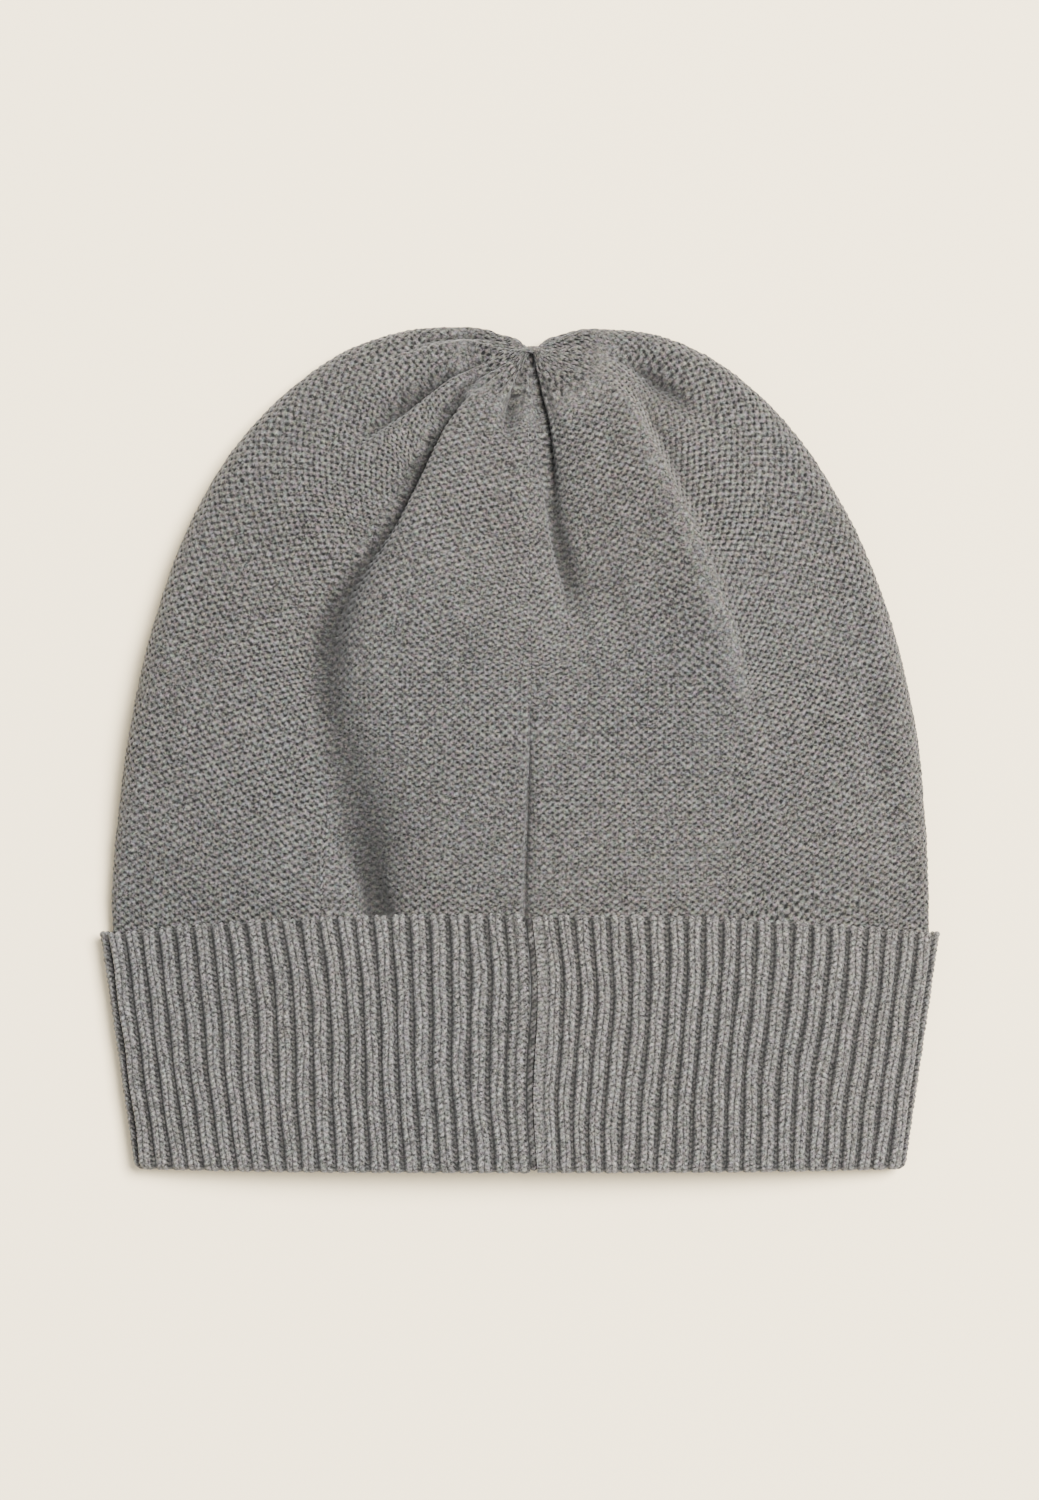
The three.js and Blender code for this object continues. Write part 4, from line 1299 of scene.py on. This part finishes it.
def link_cuff_seam(sizes, material):
    """The band's linked seam: irregular slanting links sunk between its two ends."""
    rows = np.arange(LAST_COURSE * SEAM_STEPS, -1, -1) / SEAM_STEPS
    course, across = grid(rows, np.linspace(-1, 1, 10))
    count = course * CUFF_LINKS
    slanted = count + CUFF_LINK_SLANT * across
    number = np.floor(slanted)
    link = arc(in_row(slanted), 0.4) * arc(across - 0.3 * (chance(number, 2) - 0.5), 0.9)
    # The lift, low between the links, also sets painted shade in the seam yarn's colour
    lift = np.clip(0.05 + 0.85 * link * (0.3 + 0.7 * chance(number, 6)), 0, 1)
    shift = RIB_ENVELOPE / 2 - sizes.cuff_seam_depth * METRE * (1.2 - 1.1 * lift)
    outer = cuff_seam_points(SEAM_X + across * (SEAM_HALF + 0.02), course, shift)
    in_course, in_across = grid(wrong_side_rows(0.0), [-1.0, 1.0])
    inner = cuff_seam_points(SEAM_X + in_across * SEAM_HALF, in_course, WRONG_SIDE)
    stitch = stacked(across * 0.4, count, 0.0)
    mesh = grid_piece("cuff_seam_links", sway(outer), sway(inner), stitch, lift)
    add_piece("cuff_seam_links", mesh, material, "linking_yarn", "cuff_seam")


# Looks

FIBRE_SCALE = 1500.0
TINT_SCALE = 800.0
CLOUD_SCALE = 34.0
CAST_SCALE = 13.0
TOOTH_SCALE = 700.0
CLOUD_CONTRAST = 0.34
DARKEST_FIBRE = 0.12
YARN_SPECULAR = 0.25
SHEEN_ROUGHNESS = 0.5
PAPER_ROUGHNESS = 0.95
PAPER_SPECULAR = 0.1
PAPER_DARKEST = 0.985
BUMP_STRENGTH = 0.55
BUMP_DISTANCE = 0.0002


def node(tree, kind, inputs=None, **settings):
    """A new node; inputs give a value or a socket to link for the name or number of each input."""
    made = tree.nodes.new(kind)
    for name, value in settings.items():
        setattr(made, name, value)
    for name, value in (inputs or {}).items():
        if isinstance(value, bpy.types.NodeSocket):
            tree.links.new(value, made.inputs[name])
        else:
            made.inputs[name].default_value = value
    return made


def maths(tree, operation, *values, clamp=False):
    made = node(tree, "ShaderNodeMath", dict(enumerate(values)), operation=operation, use_clamp=clamp)
    return made.outputs[0]


def add_scaled(tree, value, factor, rest):
    """value * factor + rest"""
    return maths(tree, "MULTIPLY_ADD", value, factor, rest)


def noise(tree, vector, scale, detail, roughness=0.5, distortion=0.0):
    return node(tree, "ShaderNodeTexNoise", {
        "Vector": vector, "Scale": scale, "Detail": detail, "Roughness": roughness, "Distortion": distortion,
    })


def spread(tree, value):
    """A noise's value about 0 in place of 0.5."""
    return maths(tree, "SUBTRACT", value, 0.5)


def new_material(name, roughness, specular):
    """A material with one shader; gives the material, its node tree and the shader's inputs."""
    material = bpy.data.materials.new(name)
    material.use_nodes = True
    tree = material.node_tree
    tree.nodes.clear()
    shader = node(tree, "ShaderNodeBsdfPrincipled", {"Roughness": roughness, "Specular IOR Level": specular})
    node(tree, "ShaderNodeOutputMaterial", {"Surface": shader.outputs[0]})
    return material, tree, shader.inputs


# Holes of the knit, whose darkness in the yarn's colour is painted shade and whose form dents its bump
HOLE_COLUMNS = "wale row half_wale half_row slant weight"
CROWN_HOLES = table(HOLE_COLUMNS, [
    [0, 0, 0.27, 0.27, 0, 1],
    [0.5, 0.42, 0.25, 0.26, 0, 0.9],
])
RIB_HOLES = table(HOLE_COLUMNS, [
    [0.5, 0, 0.04, 0.34, 0, 0.95],
    [0.87, 0.72, 0.08, 0.3, 2, 1.4],
    [0.13, 0.72, 0.07, 0.28, -2, 1.15],
    [0.69, 0.38, 0.06, 0.18, 2, 0.6],
    [0.31, 0.38, 0.06, 0.18, -2, 0.6],
])
DEEPEST_HOLE = 1.4


def hole(tree, wale, row, offset_wale, offset_row, half_wale, half_row, slant):
    """The small hole at one place in each stitch: 1 in its middle, 0 from its rim outwards; sizes vary."""
    across = maths(tree, "SUBTRACT", wale, offset_wale)
    column = maths(tree, "ROUND", across)
    across = maths(tree, "SUBTRACT", across, column)
    along = add_scaled(tree, across, -slant, maths(tree, "SUBTRACT", row, offset_row))
    number = maths(tree, "ROUND", along)
    along = maths(tree, "SUBTRACT", along, number)
    cell = node(tree, "ShaderNodeCombineXYZ", {0: column, 1: number, 2: offset_wale})
    luck = node(tree, "ShaderNodeTexWhiteNoise", {"Vector": cell.outputs[0]}, noise_dimensions="3D")
    chances = node(tree, "ShaderNodeSeparateColor", {0: luck.outputs["Color"]}).outputs
    form = []
    for distance, half, luck_of_it in ((across, half_wale, chances[0]), (along, half_row, chances[1])):
        moved = add_scaled(tree, luck_of_it, 0.4 * half, maths(tree, "SUBTRACT", distance, 0.2 * half))
        form.append(maths(tree, "POWER", maths(tree, "DIVIDE", moved, half), 2.0))
    depth = maths(tree, "SUBTRACT", 1.0, maths(tree, "ADD", *form), clamp=True)
    return maths(tree, "MULTIPLY", depth, add_scaled(tree, chances[2], 0.5, 0.75))


def hollow_line(tree, wale, row):
    """The hollow that winds from hole to hole between the rows of the crown's loop heads, dented into the
    bump and darkened with painted shade.
    """
    turn = maths(tree, "COSINE", maths(tree, "MULTIPLY", wale, 2 * math.pi))
    along = maths(tree, "ADD", row, add_scaled(tree, turn, 0.21, -0.21))
    along = maths(tree, "DIVIDE", maths(tree, "SUBTRACT", along, maths(tree, "ROUND", along)), 0.24)
    return maths(tree, "SUBTRACT", 1.0, maths(tree, "POWER", maths(tree, "ABSOLUTE", along), 2.0), clamp=True)


def open_holes(tree, place, holes, line):
    """The small holes of the knit, by the places of its stitches, and the line between them, for painted
    shade and bump.
    """
    wale, row, weight = node(tree, "ShaderNodeSeparateXYZ", {0: place}).outputs
    pits = maths(tree, "MULTIPLY", hollow_line(tree, wale, row), line)
    for *form, depth in zip(*holes.values()):
        one = hole(tree, wale, row, *(float(value) for value in form))
        pits = add_scaled(tree, one, float(depth), pits)
    return maths(tree, "MULTIPLY", maths(tree, "MINIMUM", pits, DEEPEST_HOLE), weight)


def fibre_tint(tree, space, base, tinge):
    """The yarn's colour with the fine tints of its fibres and a slow cast from warm to cool."""
    tints = noise(tree, space, TINT_SCALE, 1).outputs["Color"]
    least, span = [c * (1 - tinge / 2) for c in base[:3]], [c * tinge for c in base[:3]]
    tint = node(tree, "ShaderNodeVectorMath", {0: tints, 1: span, 2: least}, operation="MULTIPLY_ADD")
    warmth = spread(tree, noise(tree, space, CAST_SCALE, 2).outputs["Fac"])
    red, blue = add_scaled(tree, warmth, 0.09, 1.006), add_scaled(tree, warmth, -0.1, 0.994)
    cast = node(tree, "ShaderNodeCombineXYZ", {0: red, 1: 1.0, 2: blue})
    warm = node(tree, "ShaderNodeVectorMath", {0: tint.outputs[0], 1: cast.outputs[0]}, operation="MULTIPLY")
    return warm.outputs[0]


def yarn_material(name, sizes, base, pit_shade, stretch, contrast, speckle, tinge, holes=None, line=0.0):
    """Marled yarn: light and dark fibres twisted together, fuzzy, with painted shade down between the
    stitches.
    """
    if name in bpy.data.materials:
        return bpy.data.materials[name]
    material, tree, inputs = new_material(name, sizes.yarn_roughness, YARN_SPECULAR)
    inputs["Sheen Weight"].default_value = sizes.sheen
    inputs["Sheen Roughness"].default_value = SHEEN_ROUGHNESS

    place = node(tree, "ShaderNodeAttribute", attribute_name="stitch").outputs["Vector"]
    lift = node(tree, "ShaderNodeAttribute", attribute_name="lift").outputs["Fac"]
    space = node(tree, "ShaderNodeTexCoord").outputs["Object"]
    along_yarn = node(tree, "ShaderNodeMapping", {"Vector": place, "Scale": stretch}).outputs[0]

    marl = noise(tree, along_yarn, 1.0, 3, 0.6, 0.4).outputs["Fac"]
    fibres = noise(tree, space, FIBRE_SCALE, 2, 0.75, 0.4).outputs["Fac"]
    cloud = noise(tree, space, CLOUD_SCALE, 3, 0.6).outputs["Fac"]
    shade = add_scaled(tree, spread(tree, marl), contrast, 1.0)
    shade = add_scaled(tree, spread(tree, fibres), sizes.fibre_contrast * speckle, shade)
    shade = add_scaled(tree, spread(tree, cloud), CLOUD_CONTRAST, shade)
    shade = maths(tree, "MAXIMUM", shade, DARKEST_FIBRE)
    # Painted shade: the colour darkens where the lift attribute is low, down between stitches, in furrows and
    # in seams; pit shade is the brightness left at the bottom, pit reach how far up it reaches
    raised = maths(tree, "POWER", lift, sizes.pit_reach)
    sunk = maths(tree, "MULTIPLY_ADD", raised, 1 - pit_shade, pit_shade, clamp=True)
    height = add_scaled(tree, fibres, 0.6, maths(tree, "MULTIPLY", marl, 0.3))
    if holes:
        pits = open_holes(tree, place, holes, line)
        # Painted shade in the holes and the hollow line, as dark as the hole shade sets
        left = maths(tree, "MULTIPLY_ADD", pits, -sizes.hole_shade, 1.0, clamp=True)
        sunk = maths(tree, "MULTIPLY", sunk, left)
        height = add_scaled(tree, pits, -1.2, height)
    shade = maths(tree, "MULTIPLY", shade, sunk)
    tint = fibre_tint(tree, space, base, tinge)
    colour = node(tree, "ShaderNodeVectorMath", {0: tint, "Scale": shade}, operation="SCALE")
    tree.links.new(colour.outputs[0], inputs["Base Color"])
    bump = node(
        tree, "ShaderNodeBump", {"Strength": BUMP_STRENGTH, "Distance": BUMP_DISTANCE, "Height": height}
    )
    tree.links.new(bump.outputs[0], inputs["Normal"])
    return material


def paper_material(name, colour):
    """A matt pale sheet with the faintest tooth."""
    material, tree, inputs = new_material(name, PAPER_ROUGHNESS, PAPER_SPECULAR)
    space = node(tree, "ShaderNodeTexCoord").outputs["Object"]
    tooth = noise(tree, space, TOOTH_SCALE, 3, 0.6).outputs["Fac"]
    low, high = (*[c * PAPER_DARKEST for c in colour[:3]], 1), (*colour[:3], 1)
    tint = node(tree, "ShaderNodeMixRGB", {0: tooth, 1: low, 2: high})
    tree.links.new(tint.outputs[0], inputs["Base Color"])
    return material


# The stage

# In metres and millimetres of lens, as Blender has them
FLOOR_REACH = 3.0
KEY_PLACE = (1.45, 1.0, 3.4)
KEY_SIZE = 1.6
KEY_COLOUR = (1.0, 0.985, 0.96)
ROOM_COLOUR = (0.93, 0.96, 1.0, 1)
CAMERA_PLACE = (-0.00013, 0, 1.0995)
CAMERA_LENS = 100
CAMERA_SENSOR = 36
CAMERA_NEAREST = 0.01


def lay_floor(sizes):
    mesh = bpy.data.meshes.new("floor")
    reach = FLOOR_REACH
    corners = [(-reach, -reach, 0), (reach, -reach, 0), (reach, reach, 0), (-reach, reach, 0)]
    mesh.from_pydata(corners, [], [(0, 1, 2, 3)])
    mesh.materials.append(paper_material("pale_paper", sizes.floor_colour))
    floor = place_object("floor", mesh)


def light_softly(sizes):
    light = bpy.data.lights.new("key", "AREA")
    light.shape = "SQUARE"
    light.size = KEY_SIZE
    light.energy = sizes.key_power
    light.color = KEY_COLOUR
    key = place_object("key", light, KEY_PLACE)
    key.rotation_euler = (-key.location).to_track_quat("-Z", "Y").to_euler()
    world = bpy.data.worlds.new("studio")
    bpy.context.scene.world = world
    world.use_nodes = True
    background = world.node_tree.nodes["Background"]
    background.inputs["Color"].default_value = ROOM_COLOUR
    background.inputs["Strength"].default_value = sizes.ambient


def place_camera():
    data = bpy.data.cameras.new("camera")
    data.lens = CAMERA_LENS
    data.sensor_width = CAMERA_SENSOR
    data.clip_start = CAMERA_NEAREST
    bpy.context.scene.camera = place_object("camera", data, CAMERA_PLACE)


# The add-on

def depth_property(name, description, default, largest):
    return bpy.props.FloatProperty(
        name=name, description=description, default=default, min=0, max=largest, precision=5,
        subtype="DISTANCE", unit="LENGTH",
    )


def factor_property(name, description, default, largest=1):
    return bpy.props.FloatProperty(
        name=name, description=description, default=default, min=0, max=largest, subtype="FACTOR",
    )


def colour_property(name, description, default):
    return bpy.props.FloatVectorProperty(
        name=name, description=description, default=(*default, 1.0), size=4, min=0, max=1, subtype="COLOR",
    )


class KnitCapSizes(bpy.types.PropertyGroup):
    """What a user would change: depths of the knit, looks of the yarn, colours and light"""
    purl_depth: depth_property("Purl depth", "How far the crown's stitches stand out", 0.0011, 0.003)
    rib_depth: depth_property("Rib depth", "Depth of the furrows between the ribs", 0.0014, 0.002)
    seam_depth: depth_property("Crown seam depth", "How far the crown's back seam is sunk", 0.0009, 0.002)
    cuff_seam_depth: depth_property("Cuff seam depth", "How far the cuff's seam is sunk", 0.0011, 0.002)
    yarn_roughness: factor_property("Yarn roughness", "Roughness of the fibres", 0.92)
    sheen: factor_property("Sheen", "Soft light that the fuzz catches", 0.17)
    fibre_contrast: factor_property("Fibre contrast", "Speckle of light and dark fibres", 4.0, 8)
    # Pit shade, furrow shade, hole shade and pit reach set the painted shade in the yarn's colour
    pit_shade: factor_property("Pit shade", "Brightness down between the stitches of the crown", 0.13)
    furrow_shade: factor_property("Furrow shade", "Brightness down between the ribs and in the seams", 0.04)
    hole_shade: factor_property("Hole shade", "How dark the small holes of the plain knit are", 0.67)
    pit_reach: bpy.props.FloatProperty(
        name="Pit reach", description="How far up the stitches that darkness reaches",
        default=1.3, min=0.2, max=4,
    )
    crown_colour: colour_property("Crown yarn", "Colour of the crown's yarn", (0.0822, 0.0783, 0.0738))
    rib_colour: colour_property("Rib yarn", "Colour of the rib band's yarn", (0.1215, 0.1158, 0.1091))
    seam_colour: colour_property("Linking yarn", "Colour of the seams and the nub", (0.105, 0.1, 0.094))
    floor_colour: colour_property("Floor", "Colour of the paper underneath", (0.96, 0.808, 0.552))
    key_power: bpy.props.FloatProperty(
        name="Key power", description="Power of the soft key light", default=640, min=0, unit="POWER",
    )
    ambient: bpy.props.FloatProperty(
        name="Ambient", description="Strength of the even light all round", default=1.0, min=0,
    )


def crown_yarn(sizes):
    return yarn_material(
        "crown_yarn", sizes, sizes.crown_colour, sizes.pit_shade,
        stretch=(1.4, 2.6, 1), contrast=1.1, speckle=1.4, tinge=0.5, holes=CROWN_HOLES, line=0.4,
    )


def rib_yarn(sizes):
    return yarn_material(
        "rib_yarn", sizes, sizes.rib_colour, sizes.furrow_shade,
        stretch=(5.2, 0.9, 1), contrast=1.1, speckle=1.5, tinge=0.3, holes=RIB_HOLES,
    )


def seam_yarn(sizes):
    return yarn_material(
        "seam_thread", sizes, sizes.seam_colour, sizes.furrow_shade,
        stretch=(2.0, 2.0, 1), contrast=0.8, speckle=1.0, tinge=0.3,
    )


class CapOperator:
    bl_options = {"REGISTER", "UNDO"}

    def execute(self, context):
        before = len(bpy.data.objects)
        self.make(context.scene.knit_cap)
        if len(bpy.data.objects) == before:
            raise RuntimeError(self.bl_label + " made nothing")
        return {"FINISHED"}


class KNITCAP_OT_crown(CapOperator, bpy.types.Operator):
    """Knit the crown: both halves of the back and the front face"""
    bl_idname = "knitcap.crown"
    bl_label = "Knit the crown"

    def make(self, sizes):
        knit_crown(sizes, crown_yarn(sizes))


class KNITCAP_OT_seams(CapOperator, bpy.types.Operator):
    """Link the back seams of the crown and the cuff"""
    bl_idname = "knitcap.seams"
    bl_label = "Link the seams"

    def make(self, sizes):
        link_crown_seam(sizes, seam_yarn(sizes))
        link_cuff_seam(sizes, seam_yarn(sizes))


class KNITCAP_OT_nub(CapOperator, bpy.types.Operator):
    """Draw the top in with its nub of thread"""
    bl_idname = "knitcap.nub"
    bl_label = "Wind the nub"

    def make(self, sizes):
        wind_nub(sizes, seam_yarn(sizes))


class KNITCAP_OT_band(CapOperator, bpy.types.Operator):
    """Knit the rib band with its turned-up cuff"""
    bl_idname = "knitcap.band"
    bl_label = "Knit the rib band"

    def make(self, sizes):
        knit_band(sizes, rib_yarn(sizes))


class KNITCAP_OT_stage(CapOperator, bpy.types.Operator):
    """Lay the floor, set the lights and place the camera"""
    bl_idname = "knitcap.stage"
    bl_label = "Set the stage"

    def make(self, sizes):
        lay_floor(sizes)
        light_softly(sizes)
        place_camera()


class KNITCAP_PT_panel(bpy.types.Panel):
    """Sizes, colours and steps of the knit cap"""
    bl_idname = "KNITCAP_PT_panel"
    bl_label = "Knit Cap"
    bl_space_type = "VIEW_3D"
    bl_region_type = "UI"
    bl_category = "Knit Cap"

    def draw(self, context):
        for name in KnitCapSizes.__annotations__:
            self.layout.prop(context.scene.knit_cap, name)
        for operator in OPERATORS:
            self.layout.operator(operator.bl_idname)


OPERATORS = (KNITCAP_OT_crown, KNITCAP_OT_band, KNITCAP_OT_seams, KNITCAP_OT_nub, KNITCAP_OT_stage)
CLASSES = (KnitCapSizes, *OPERATORS, KNITCAP_PT_panel)


def register():
    for cls in CLASSES:
        bpy.utils.register_class(cls)
    bpy.types.Scene.knit_cap = bpy.props.PointerProperty(type=KnitCapSizes)


def unregister():
    del bpy.types.Scene.knit_cap
    for cls in reversed(CLASSES):
        bpy.utils.unregister_class(cls)


def main():
    register()
    bpy.ops.knitcap.crown()
    bpy.ops.knitcap.band()
    bpy.ops.knitcap.seams()
    bpy.ops.knitcap.nub()
    bpy.ops.knitcap.stage()


if __name__ == "__main__":
    main()
